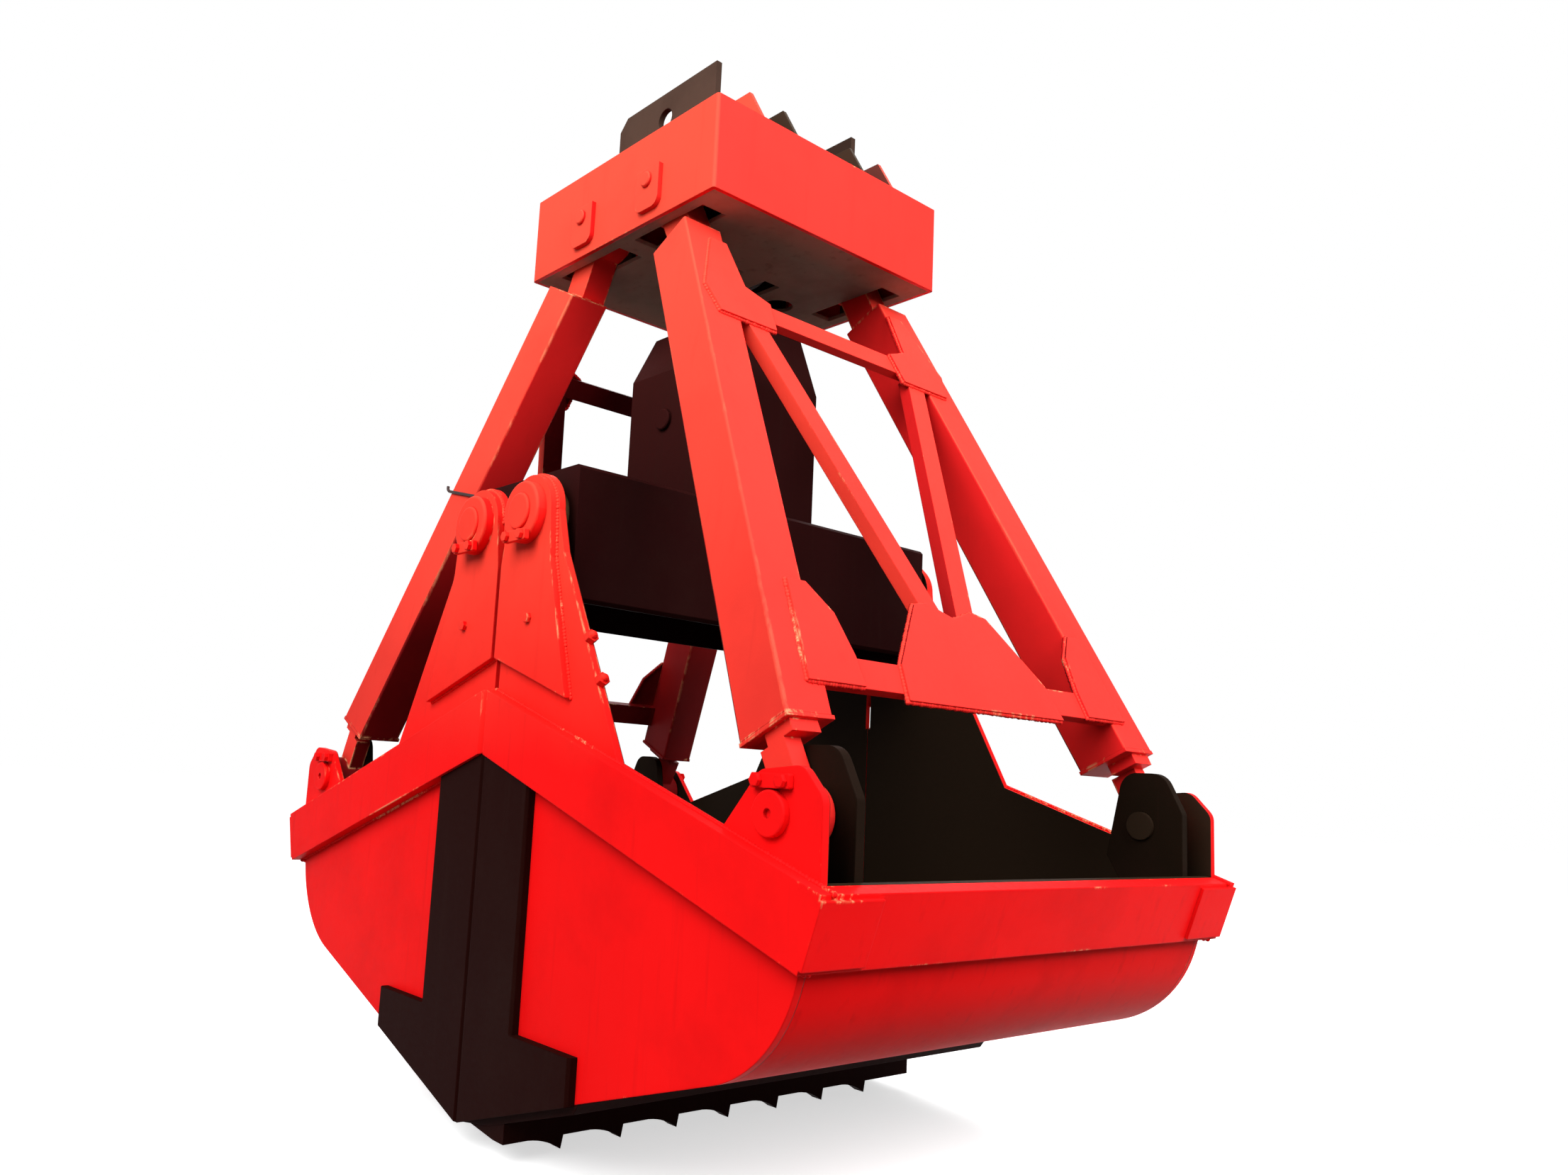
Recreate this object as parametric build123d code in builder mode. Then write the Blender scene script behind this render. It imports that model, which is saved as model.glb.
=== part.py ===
from build123d import *
import os
from math import atan2, cos, degrees, hypot

# Four-rope clamshell grab, closed. Millimetres, +Z up, X across the jaws, Y along the hinge pins.
# The origin is the middle of the suspension bores. Heights below are measured up from the tip of
# the closed shells, and up() turns them into Z.
# Running gap of a pin in its bush, and the gap of a fixed pin or bolt in its hole, both radial.
running_gap = 0.05
seat_gap = 0.02

# Pivots of one jaw: x and height
hinge_x, hinge_height, hinge_pin_radius, hinge_pin_round = 160, 1880, 60, 8
ear_x, ear_height, ear_pin_radius = 1300, 1000, 45

# Shell: outer faces, plates and profile, set out from the ear pin
end_face = 914
end_plate = 24
# Half the gap between the two shells, at the lips and higher up between the hinge arms
seam = 2
hinge_seam = 12
pan_plate = 16
tip_x = 20
corner_out, corner_drop, corner_radius = 40, 584, 400
rim_out, rim_drop = 160, 150
corner_x = ear_x + corner_out
corner_height = ear_height - corner_drop
rim_x = ear_x + rim_out
rim_height = ear_height - rim_drop

# Rim band: its top and bottom edge at the seam and at the back corner, set out from the ear pin
band_proud = 43
band_top_rise, band_top_drop = 321, 164
band_low_rise, band_low_drop, band_low_in = 116, 345, 63
band_top_seam = ear_height + band_top_rise
band_top_back = ear_height - band_top_drop
band_low_seam = ear_height + band_low_rise
band_low_back = ear_height - band_low_drop
band_top_x = rim_x + band_proud
band_low_x = band_top_x - band_low_in
corner_pad_length, corner_pad_proud, corner_pad_edge = 210, 10, 12
band_chamfer = 14

# Hinge arms of the end plates and their bosses, set out from the hinge pin
hinge_boss_gap = 25
hinge_boss_radius = hinge_x - hinge_boss_gap
hinge_edge_out, hinge_edge_drop, hinge_foot_out = 177, 140, 520
hinge_edge_top = (hinge_x + hinge_edge_out, hinge_height - hinge_edge_drop)
hinge_edge_foot = hinge_x + hinge_foot_out
boss_plate = 25
boss_plate_inset, boss_collar_inset, boss_collar_height, boss_collar_round = 10, 35, 36, 10
boss_collar_radius = hinge_boss_radius - boss_collar_inset
# The boss plate's lower edge runs along the band's top edge at this height above it
boss_plate_clear = 104
boss_plate_low_out, boss_plate_top_out, boss_plate_top_drop = 270, 140, 156
boss_plate_top_outer = (hinge_x + boss_plate_top_out, hinge_height - boss_plate_top_drop)
boss_bolt_out, boss_bolt_rise = 40, 179
boss_bolt_x = hinge_x + boss_bolt_out

# Ears that carry the arm feet, set out from the ear pin
ear_foot_in, ear_top_in, ear_top_in_rise = 175, 50, 103
ear_top_out, ear_top_out_rise, ear_back_rise, ear_round = 92, 117, 45, 45
ear_inner_foot = ear_x - ear_foot_in
ear_inner_top = (ear_x - ear_top_in, ear_height + ear_top_in_rise)
ear_outer_top = (ear_x + ear_top_out, ear_height + ear_top_out_rise)
ear_back_top = ear_height + ear_back_rise
clevis_gap = 112
inner_ear_plate = 30
inner_ear_foot_out, inner_ear_foot_drop = 30, 355
inner_ear_mid_in, inner_ear_mid_drop = 120, 100
inner_ear_top_in, inner_ear_top_out, inner_ear_rise, inner_ear_round = 62, 75, 170, 60
inner_ear_foot = (ear_x + inner_ear_foot_out, ear_height - inner_ear_foot_drop)
inner_ear_mid = (ear_x - inner_ear_mid_in, ear_height - inner_ear_mid_drop)
ear_cap_edge, ear_cap_thick, ear_cap_round = 11, 20, 5
ear_cap_dimple, ear_cap_dimple_depth = 12, 10
ear_cap_radius = ear_pin_radius + ear_cap_edge

# Cutting lips and teeth
lip_thick, lip_length, lip_nose, lip_taper = 25, 600, 5, 150
side_lip_thick, side_lip_drop, side_lip_chamfer = 30, 4, 8
side_lip_half, side_lip_foot_top, side_lip_foot_x = 275, 300, 580
# Toothed bar under the bottom lip; the left one is shorter at each end
bar_start, bar_toe, bar_face, bar_low, bar_short = 45, 178, 235, -18, 115
tooth_count, tooth_run, tooth_drop, tooth_thick, tooth_lean, tooth_shift = 7, 120, 40, 45, 8, 23

# Keeper bars and bolts
keeper_thick, keeper_width, keeper_length, keeper_gap = 16, 36, 130, 3
bolt_radius, bolt_head_radius, bolt_head, bolt_depth, bolt_pitch = 10, 17, 13, 22, 84

# Lower block, set out from the hinge pins, and the sheave housing on it
block_half, block_above, block_below, block_side_gap = 300, 160, 280, 10
block_wall, block_end_wall, block_chamfer = 20, 40, 12
bush_wall, bush_flange, bush_flange_radius = 20, 30, 95
block_end = end_face - end_plate - block_side_gap - bush_flange
block_bottom = hinge_height - block_below
block_top = hinge_height + block_above
housing_half_x, housing_half_y, housing_rise, housing_wall = 210, 290, 730, 16
housing_cut_y, housing_cut_z = 100, 200
housing_mouth_half, housing_mouth_edge = 147, 30
housing_top = block_top + housing_rise
lower_sheave_radius, lower_sheave_width, lower_sheave_y = 170, 64, 190
lower_shaft_radius, lower_shaft_rise, shaft_stick_out = 40, 340, 16
lower_shaft_height = block_top + lower_shaft_rise
groove_depth, sheave_hub, sheave_web = 28, 75, 22

# Head box, clear above the sheave housing
head_clear, head_rise, head_plate = 224, 335, 16
head_length, head_width, head_round = 1092, 1140, 12
# Chamfer of the ends of the shafts and head pins
shaft_chamfer = 4
head_bottom = housing_top + head_clear
head_top = head_bottom + head_rise

# Head pins of the arms, and the play of the arm's head eye around its pin, which takes up the
# linkage's changing ratio
arm_pin_x, arm_pin_rise, arm_pin_radius = 200, 146, 27
arm_pin_height = head_bottom + arm_pin_rise
arm_eye_play = 70
arm_eye_wall = 30
eye_side_room, head_eye_thick, head_neck = 44, 100, 120
head_eye_inner = head_width / 2 - head_plate - eye_side_room - head_eye_thick

# Fittings in and on the head
bracket_plate, bracket_gap, bracket_length = 20, 0.3, 180
pin_pad, pin_pad_width, pin_pad_above = 18, 130, 45
pin_pad_below, pin_pad_round, pin_stick_out = 110, 35, 12
sheave_plate, sheave_plate_inner, sheave_plate_base, sheave_plate_crown = 20, 150, 240, 180
upper_sheave_radius, upper_sheave_width, upper_sheave_y, upper_shaft_radius = 138, 60, 95, 35
upper_shaft_rise = 167
upper_shaft_height = head_bottom + upper_shaft_rise
cheek_plate, cheek_inner, cheek_outer, cheek_rise = 16, 168, 332, 140
cheek_base_in, cheek_top_in = 16, 96
cheek_base_half = head_length / 2 - cheek_base_in
cheek_top_half = head_length / 2 - cheek_top_in
rope_y = (cheek_inner + cheek_plate + cheek_outer) / 2
rope_radius, rope_bush_wall, rope_bush_rise = 42, 20, 34
rope_flare, rope_flare_depth = 14, 20
lug_plate, lug_half, lug_rise, lug_cut, lug_bore_radius, lug_bore_rise = 24, 290, 326, 45, 40, 220
suspension_height = head_top + lug_bore_rise
slot_in, slot_out, slot_side_gap = 155, 225, 3
slot_inner = arm_pin_x - slot_in
slot_outer = arm_pin_x + slot_out

# Arms and bracing, in the plane of one arm pair: u across, v up from the ear pin, w outward
arm_run = ear_x - arm_pin_x
arm_climb = arm_pin_height - ear_height
arm_length = hypot(arm_run, arm_climb)
arm_width, arm_depth, arm_wall, arm_round = 165, 185, 12, 8
arm_outer_foot, arm_lean = 895, 0.15
arm_start, head_reach = 232, 276
arm_end = arm_length - head_reach
beam_depth, brace_depth = 30, 45
lower_beam_low, lower_beam_high = 325, 418
upper_beam_drop, upper_beam_width = 315, 80
upper_beam_high = arm_end - upper_beam_drop
upper_beam_low = upper_beam_high - upper_beam_width
brace_foot_u, brace_foot_v, brace_head_in, brace_width, brace_split = 90, 660, 52, 85, 2
gusset_plate, gusset_lap, gusset_edge = 12, 70, 25
upper_gusset_rise, upper_gusset_dip, upper_gusset_reach = 240, 48, 150
upper_gusset_neck, upper_gusset_step, upper_gusset_side = 50, 42, 110
lower_gusset_rise, lower_gusset_bend = 222, 132
lower_gusset_u, lower_gusset_bend_u = 535, 560
centre_gusset_low, centre_gusset_mid, centre_gusset_top, centre_gusset_peak = 370, 345, 175, 110
centre_gusset_rise, centre_peak_rise, centre_notch_rise, centre_gusset_dip = 222, 237, 197, 26
foot_eye_radius, foot_gap = 80, 8
foot_bush_wall = 14
foot_neck, foot_neck_in, foot_step, foot_step_top = 90, 38, 186, 220
foot_step_width, foot_step_depth, foot_step_out = 100, 95, 32
foot_lap = 5

os.makedirs("parts", exist_ok=True)


def up(height):
    """Z of a height above the closed lip tip."""
    return height - suspension_height


def near(distance):
    """The upright plane facing -Y at Y = -distance."""
    return Plane.XZ.offset(distance)


def outline(*corners):
    """A face in the current sketch from (x, height) corners."""
    Polygon(*[(x, up(height)) for x, height in corners], align=None)


def shape(*corners):
    """A face in the current sketch from plain local corners."""
    Polygon(*corners, align=None)


def round_corner(sketch, x, z, radius):
    """Rounds the sketch's corner that lies closest to the given point."""
    fillet(sketch.vertices().sort_by_distance((x, z))[0], radius=radius)


def save(builder, name):
    """Writes one node."""
    builder.part.label = name
    export_step(builder.part, "parts/" + name + ".step")


def save_pair(right, name):
    """Writes the right-hand node and its mirror image on the left."""
    save(right, "right_" + name)
    with BuildPart() as left:
        mirror(right.part, about=Plane.YZ)
    save(left, "left_" + name)


# Lines that several pieces share
bottom_slope = corner_height / (corner_x - tip_x)
bottom_angle = atan2(corner_height, corner_x - tip_x)
back_lean = (rim_x - corner_x) / (rim_height - corner_height)
band_top_slope = (band_top_seam - band_top_back) / (band_top_x - seam)
band_low_slope = (band_low_seam - band_low_back) / (band_low_x - seam)
lip_drop = lip_thick / cos(bottom_angle)
pan_run = pan_plate * hypot(1, back_lean)
inner_ear_face = end_face - end_plate - clevis_gap
inner_ear_back = rim_x - back_lean * pan_plate - pan_run
arm_slope = degrees(atan2(arm_climb, -arm_run))


def bottom(x):
    """Height of the shell's straight bottom."""
    return bottom_slope * (x - tip_x)


def back(height):
    """X of the shell's straight back, outside."""
    return rim_x + back_lean * (height - rim_height)


def band_top(x):
    """Height of the band's top edge on the end plates."""
    return band_top_seam - band_top_slope * (x - seam)


def band_low(x):
    """Height of the band's bottom edge on the end plates."""
    return band_low_seam - band_low_slope * (x - seam)


# Shell: curved back and bottom plate
with BuildPart() as pan:
    with BuildSketch(near(0)):
        with BuildLine() as pan_line:
            Polyline((tip_x, up(0)), (corner_x, up(corner_height)), (rim_x, up(rim_height)))
            fillet(pan_line.vertices().sort_by_distance((corner_x, up(corner_height)))[0], corner_radius)
            offset(amount=pan_plate, side=Side.LEFT)
        make_face()
    extrude(amount=end_face - end_plate, both=True)
save_pair(pan, "pan")

# Shell: end plates, each cut in one piece with its hinge arm and its outer ear
with BuildPart() as end_plates:
    with BuildSketch(near(end_face)) as end_outline:
        outline(
            (seam, bottom(tip_x)),
            (tip_x, bottom(tip_x)),
            (corner_x, corner_height),
            (rim_x, rim_height),
            (rim_x, ear_back_top),
            ear_outer_top,
            ear_inner_top,
            (ear_inner_foot, band_top(ear_inner_foot)),
            (hinge_edge_foot, band_top(hinge_edge_foot)),
            hinge_edge_top,
            (hinge_x + hinge_boss_radius, hinge_height),
            (hinge_x - hinge_boss_radius, hinge_height),
            (hinge_seam, hinge_edge_top[1]),
            (hinge_seam, band_top(hinge_seam)),
            (seam, band_top(seam)),
        )
        round_corner(end_outline, corner_x, up(corner_height), corner_radius)
        round_corner(end_outline, rim_x, up(ear_back_top), ear_round)
        round_corner(end_outline, ear_outer_top[0], up(ear_outer_top[1]), ear_round)
        round_corner(end_outline, ear_inner_top[0], up(ear_inner_top[1]), ear_round)
        with Locations((hinge_x, up(hinge_height))):
            Circle(hinge_boss_radius)
            Circle(hinge_pin_radius + seat_gap, mode=Mode.SUBTRACT)
        with Locations((ear_x, up(ear_height))):
            Circle(ear_pin_radius + seat_gap, mode=Mode.SUBTRACT)
    extrude(amount=-end_plate)
    with BuildSketch(near(end_face)):
        with Locations((ear_x, up(ear_height + ear_cap_radius + keeper_width / 2 + keeper_gap))):
            with GridLocations(bolt_pitch, 1, 2, 1):
                Circle(bolt_radius + seat_gap)
    extrude(amount=-bolt_depth, mode=Mode.SUBTRACT)
    mirror(about=Plane.XZ)
save_pair(end_plates, "end_plates")

# Shell: rim band round both ends and the back, with thicker pads at the corners
with BuildPart() as rim_band:
    with BuildSketch(near(end_face)):
        outline(
            (seam, band_low_seam),
            (band_low_x, band_low_back),
            (band_top_x, band_top_back),
            (seam, band_top_seam),
        )
    extrude(amount=band_proud)
    chamfer(rim_band.edges().group_by(Axis.Y)[0].sort_by(Axis.Z)[-1], length=band_chamfer)
    mirror(about=Plane.XZ)
    with BuildSketch(near(0)):
        outline(
            (back(band_low_back), band_low_back),
            (band_low_x, band_low_back),
            (band_top_x, band_top_back),
            (back(rim_height), rim_height),
        )
    extrude(amount=end_face, both=True)
    band_edge = Edge.make_line((band_low_x, 0, up(band_low_back)), (band_top_x, 0, up(band_top_back)))
    band_rise = band_edge % 0.5
    pad_plane = Plane(
        origin=band_edge @ 0.5, x_dir=(0, 1, 0), z_dir=(band_rise.Z, 0, -band_rise.X)
    )
    with BuildSketch(pad_plane):
        with Locations((end_face + band_proud - corner_pad_length / 2, 0)):
            Rectangle(corner_pad_length, band_edge.length - 2 * corner_pad_edge)
        with Locations((corner_pad_length / 2 - end_face - band_proud, 0)):
            Rectangle(corner_pad_length, band_edge.length - 2 * corner_pad_edge)
    extrude(amount=corner_pad_proud)
save_pair(rim_band, "rim_band")

# Shell: boss plates on the hinge arms, each with its round collar and a bolt hole
boss_plate_low_x = hinge_x + boss_plate_low_out
boss_bolt_height = band_top(boss_bolt_x) + boss_plate_clear + boss_bolt_rise
with BuildPart() as hinge_bosses:
    with BuildSketch(near(end_face)) as boss_outline:
        outline(
            (boss_plate_inset, band_top(boss_plate_inset) + boss_plate_clear),
            (boss_plate_low_x, band_top(boss_plate_low_x) + boss_plate_clear),
            boss_plate_top_outer,
            (hinge_x + hinge_boss_radius - boss_plate_inset, hinge_height),
            (hinge_x - hinge_boss_radius + boss_plate_inset, hinge_height),
            (boss_plate_inset, boss_plate_top_outer[1]),
        )
        with Locations((hinge_x, up(hinge_height))):
            Circle(hinge_boss_radius - boss_plate_inset)
        with Locations((boss_bolt_x, up(boss_bolt_height))):
            Circle(bolt_radius + seat_gap, mode=Mode.SUBTRACT)
    extrude(amount=boss_plate)
    with BuildSketch(near(end_face + boss_plate)):
        with Locations((hinge_x, up(hinge_height))):
            Circle(boss_collar_radius)
    extrude(amount=boss_collar_height)
    fillet(hinge_bosses.edges().filter_by(GeomType.CIRCLE).group_by(Axis.Y)[0], radius=boss_collar_round)
    with BuildSketch(near(end_face)):
        with Locations((hinge_x, up(hinge_height))):
            Circle(hinge_pin_radius + seat_gap)
    extrude(amount=boss_plate + boss_collar_height, mode=Mode.SUBTRACT)
    mirror(about=Plane.XZ)
save_pair(hinge_bosses, "hinge_bosses")

# Shell: inner ears, welded to the inside of the back plate
with BuildPart() as inner_ears:
    with BuildSketch(near(inner_ear_face)) as inner_ear_outline:
        outline(
            inner_ear_mid,
            inner_ear_foot,
            (back(inner_ear_foot[1]) - pan_run, inner_ear_foot[1]),
            (inner_ear_back, rim_height - pan_plate),
            (inner_ear_back, ear_back_top),
            (ear_x + inner_ear_top_out, ear_height + inner_ear_rise),
            (ear_x - inner_ear_top_in, ear_height + inner_ear_rise),
        )
        round_corner(inner_ear_outline, inner_ear_back, up(ear_back_top), ear_round / 2)
        for x in (ear_x + inner_ear_top_out, ear_x - inner_ear_top_in):
            round_corner(inner_ear_outline, x, up(ear_height + inner_ear_rise), inner_ear_round)
        with Locations((ear_x, up(ear_height))):
            Circle(ear_pin_radius + seat_gap, mode=Mode.SUBTRACT)
    extrude(amount=-inner_ear_plate)
    mirror(about=Plane.XZ)
save_pair(inner_ears, "inner_ears")

# Shell: side lips, an upright strip at the seam with a wide foot
with BuildPart() as side_lips:
    with BuildSketch(near(end_face)):
        outline(
            (seam, band_low(seam)),
            (side_lip_half, band_low(side_lip_half)),
            (side_lip_half, side_lip_foot_top),
            (side_lip_foot_x, side_lip_foot_top),
            (side_lip_foot_x, bottom(side_lip_foot_x) - side_lip_drop),
            (seam, bottom(seam) - side_lip_drop),
        )
    extrude(amount=side_lip_thick)
    chamfer(side_lips.edges().group_by(Axis.Y)[0].filter_by(Axis.Z), length=side_lip_chamfer)
    mirror(about=Plane.XZ)
save_pair(side_lips, "side_lips")

# Shell: bottom lip, a thick bar under the pan that thins towards the seam
def lip_low(x):
    """Height of the bottom lip's underside."""
    share = min(1, (x - seam) / (lip_taper - seam))
    return bottom(x) - lip_nose - share * (lip_drop - lip_nose)


with BuildPart() as bottom_lip:
    with BuildSketch(near(0)):
        outline(
            (seam, bottom(seam)),
            (lip_length, bottom(lip_length)),
            (lip_length - lip_thick, lip_low(lip_length - lip_thick)),
            (lip_taper, lip_low(lip_taper)),
            (seam, lip_low(seam)),
        )
    extrude(amount=end_face, both=True)
save_pair(bottom_lip, "bottom_lip")

# Shell: toothed bar, a wedge under the bottom lip with saw teeth along its outer face
tooth_pitch = 2 * end_face / (tooth_count + 1)
tooth_plane = Plane(origin=(bar_face, 0, up(bar_low)), x_dir=(0, 1, 0), z_dir=(1, 0, 0))


def toothed_bar(half):
    """The right-hand toothed bar, half as long to each side; a tooth that doesn't fit is left out."""
    with BuildPart() as bar:
        with BuildSketch(near(0)):
            outline(
                (bar_start, lip_low(bar_start)),
                (bar_toe, bar_low),
                (bar_face, bar_low),
                (bar_face, lip_low(bar_face)),
                (lip_taper, lip_low(lip_taper)),
            )
        extrude(amount=half, both=True)
        with BuildSketch(tooth_plane):
            for number in range(tooth_count):
                tip = tooth_pitch * (number + 1) - end_face - tooth_shift
                root = tip - tooth_run
                if max(abs(tip), abs(root)) > half:
                    continue
                with BuildLine():
                    ThreePointArc((root, 0), (tip - 0.48 * tooth_run, -0.3 * tooth_drop), (tip, -tooth_drop))
                    Line((tip, -tooth_drop), (tip + tooth_lean, 0))
                    Line((tip + tooth_lean, 0), (root, 0))
                make_face()
        extrude(amount=-tooth_thick)
    return bar


save(toothed_bar(end_face), "right_teeth")
with BuildPart() as left_teeth:
    mirror(toothed_bar(end_face - bar_short).part, about=Plane.YZ)
save(left_teeth, "left_teeth")

# Shell: hinge pins, ear pins, keeper bars and their bolts
hinge_face = end_face + boss_plate + boss_collar_height
hinge_pin_inner = block_end - block_end_wall - 20
with BuildPart() as hinge_pins:
    with BuildSketch(near(hinge_face + 10)):
        with Locations((hinge_x, up(hinge_height))):
            Circle(hinge_pin_radius)
    extrude(amount=hinge_pin_inner - hinge_face - 10)
    fillet(hinge_pins.edges().filter_by(GeomType.CIRCLE).sort_by(Axis.Y)[0], radius=hinge_pin_round)
    mirror(about=Plane.XZ)
save_pair(hinge_pins, "hinge_pins")

with BuildPart() as ear_pins:
    with BuildSketch(near(end_face)):
        with Locations((ear_x, up(ear_height))):
            Circle(ear_pin_radius)
    extrude(amount=-(end_plate + clevis_gap + inner_ear_plate + 10))
    with BuildSketch(near(end_face)):
        with Locations((ear_x, up(ear_height))):
            Circle(ear_cap_radius)
    extrude(amount=ear_cap_thick)
    fillet(ear_pins.edges().filter_by(GeomType.CIRCLE).sort_by(Axis.Y)[0], radius=ear_cap_round)
    with BuildSketch(near(end_face + ear_cap_thick)):
        with Locations((ear_x, up(ear_height))):
            Circle(ear_cap_dimple)
    extrude(amount=-ear_cap_dimple_depth, mode=Mode.SUBTRACT)
    mirror(about=Plane.XZ)
save_pair(ear_pins, "ear_pins")

# Each bar's centre and the face it lies on
hinge_keeper = (hinge_x, hinge_height - hinge_pin_radius - keeper_width / 2 - keeper_gap, hinge_face)
ear_keeper = (ear_x, ear_height + ear_cap_radius + keeper_width / 2 + keeper_gap, end_face)
with BuildPart() as keepers:
    for x, height, face in (hinge_keeper, ear_keeper):
        with BuildSketch(near(face)):
            with Locations((x, up(height))):
                RectangleRounded(keeper_length, keeper_width, 6)
                with GridLocations(bolt_pitch, 1, 2, 1):
                    Circle(bolt_radius + seat_gap, mode=Mode.SUBTRACT)
        extrude(amount=keeper_thick)
    mirror(about=Plane.XZ)
save_pair(keepers, "keepers")

with BuildPart() as keeper_bolts:
    for x, height, face in (hinge_keeper, ear_keeper):
        shank = keeper_thick + (bolt_depth if face == end_face else 0)
        with BuildSketch(near(face + keeper_thick)):
            with Locations((x, up(height))):
                with GridLocations(bolt_pitch, 1, 2, 1):
                    Circle(bolt_radius)
        extrude(amount=-shank)
        with BuildSketch(near(face + keeper_thick)):
            with Locations((x, up(height))):
                with GridLocations(bolt_pitch, 1, 2, 1):
                    RegularPolygon(bolt_head_radius, 6)
        extrude(amount=bolt_head)
    with BuildSketch(near(end_face + boss_plate)):
        with Locations((boss_bolt_x, up(boss_bolt_height))):
            Circle(bolt_radius)
    extrude(amount=-boss_plate)
    with BuildSketch(near(end_face + boss_plate)):
        with Locations((boss_bolt_x, up(boss_bolt_height))):
            RegularPolygon(bolt_head_radius, 6)
    extrude(amount=bolt_head)
    mirror(about=Plane.XZ)
save_pair(keeper_bolts, "keeper_bolts")



# The arm's centre line runs from the ear pin to the head pin
def pair_plane(w):
    """The plane of the right arm pair at w outward from the centre lines."""
    foot = (ear_x, 0, up(ear_height))
    return Plane(origin=foot, x_dir=(0, 1, 0), z_dir=(arm_climb, 0, arm_run)).offset(w)


def on_arm(v):
    """The place on the centre line at v, turned along it, in an upright sketch."""
    share = v / arm_length
    return Location((ear_x - arm_run * share, up(ear_height + arm_climb * share)), arm_slope)


def arm_outer(v):
    """u of the arm's outer edge."""
    return arm_outer_foot - arm_lean * v


def arm_inner(v):
    """u of the arm's inner edge."""
    return arm_outer(v) - arm_width


# Arms: two box tubes
with BuildPart() as arms:
    with BuildSketch(pair_plane(-arm_depth / 2)):
        shape(
            (arm_outer(arm_start), arm_start),
            (arm_inner(arm_start), arm_start),
            (arm_inner(arm_end), arm_end),
            (arm_outer(arm_end), arm_end),
        )
    extrude(amount=arm_depth)
    fillet(arms.edges().filter_by(lambda edge: edge.length > arm_width + arm_depth), radius=arm_round)
    with BuildSketch(pair_plane(arm_wall - arm_depth / 2)):
        shape(
            (arm_outer(arm_start) - arm_wall, arm_start + arm_wall),
            (arm_inner(arm_start) + arm_wall, arm_start + arm_wall),
            (arm_inner(arm_end) + arm_wall, arm_end - arm_wall),
            (arm_outer(arm_end) - arm_wall, arm_end - arm_wall),
        )
    extrude(amount=arm_depth - 2 * arm_wall, mode=Mode.SUBTRACT)
    mirror(about=Plane.XZ)
save_pair(arms, "arms")

# Arms: cross beams
for name, low, high in (
    ("lower_beam", lower_beam_low, lower_beam_high),
    ("upper_beam", upper_beam_low, upper_beam_high),
):
    with BuildPart() as beam:
        with BuildSketch(pair_plane(arm_depth / 2 - beam_depth)):
            shape(
                (arm_inner(low), low),
                (arm_inner(high), high),
                (-arm_inner(high), high),
                (-arm_inner(low), low),
            )
        extrude(amount=beam_depth)
    save_pair(beam, name)

# Arms: two diagonal braces that meet low in the middle
brace_head_u = arm_inner(upper_beam_low) - brace_head_in
brace_lean = (brace_head_u - brace_foot_u) / (upper_beam_low - brace_foot_v)
brace_half = brace_width / 2 * hypot(1, brace_lean)


def brace(v):
    """u of the brace's centre line."""
    return brace_foot_u + brace_lean * (v - brace_foot_v)


brace_meet = brace_foot_v + (brace_half + brace_split - brace_foot_u) / brace_lean
with BuildPart() as braces:
    with BuildSketch(pair_plane(arm_depth / 2 - brace_depth)):
        shape(
            (brace(upper_beam_low) - brace_half, upper_beam_low),
            (brace(upper_beam_low) + brace_half, upper_beam_low),
            (brace(lower_beam_high) + brace_half, lower_beam_high),
            (brace_split, lower_beam_high),
            (brace_split, brace_meet),
        )
    extrude(amount=brace_depth)
    mirror(about=Plane.XZ)
save_pair(braces, "braces")

# Arms: gusset plates lapped over the joints
upper_gusset_high = upper_beam_high + upper_gusset_rise
upper_gusset_low = upper_beam_low - upper_gusset_dip
upper_gusset_bend = upper_gusset_low + upper_gusset_side
lower_gusset_high = lower_beam_high + lower_gusset_rise
with BuildPart() as gussets:
    with BuildSketch(pair_plane(arm_depth / 2)):
        shape(
            (arm_inner(upper_gusset_high) + gusset_lap, upper_gusset_high),
            (arm_inner(upper_gusset_high), upper_gusset_high),
            (arm_inner(upper_beam_high) - upper_gusset_neck, upper_beam_high + upper_gusset_step),
            (arm_inner(upper_beam_high) - upper_gusset_reach, upper_beam_high),
            (arm_inner(upper_gusset_low) - upper_gusset_reach, upper_gusset_low),
            (arm_outer(upper_gusset_low) - gusset_lap, upper_gusset_low),
            (arm_outer(upper_gusset_bend) - gusset_edge, upper_gusset_bend),
        )
        shape(
            (arm_inner(lower_gusset_high) + gusset_lap, lower_gusset_high),
            (arm_inner(lower_gusset_high), lower_gusset_high),
            (lower_gusset_bend_u, lower_beam_high + lower_gusset_bend),
            (lower_gusset_u, lower_beam_high),
            (lower_gusset_u, lower_beam_low),
            (arm_inner(lower_beam_low) + gusset_lap, lower_beam_low),
        )
    extrude(amount=gusset_plate)
    mirror(about=Plane.XZ)
    with BuildSketch(pair_plane(arm_depth / 2)):
        shape(
            (centre_gusset_low, lower_beam_low - centre_gusset_dip),
            (centre_gusset_mid, lower_beam_high),
            (centre_gusset_top, lower_beam_high + centre_gusset_rise),
            (centre_gusset_peak, lower_beam_high + centre_peak_rise),
            (0, lower_beam_high + centre_notch_rise),
            (-centre_gusset_peak, lower_beam_high + centre_peak_rise),
            (-centre_gusset_top, lower_beam_high + centre_gusset_rise),
            (-centre_gusset_mid, lower_beam_high),
            (-centre_gusset_low, lower_beam_low - centre_gusset_dip),
        )
    extrude(amount=gusset_plate)
save_pair(gussets, "gussets")

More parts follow.
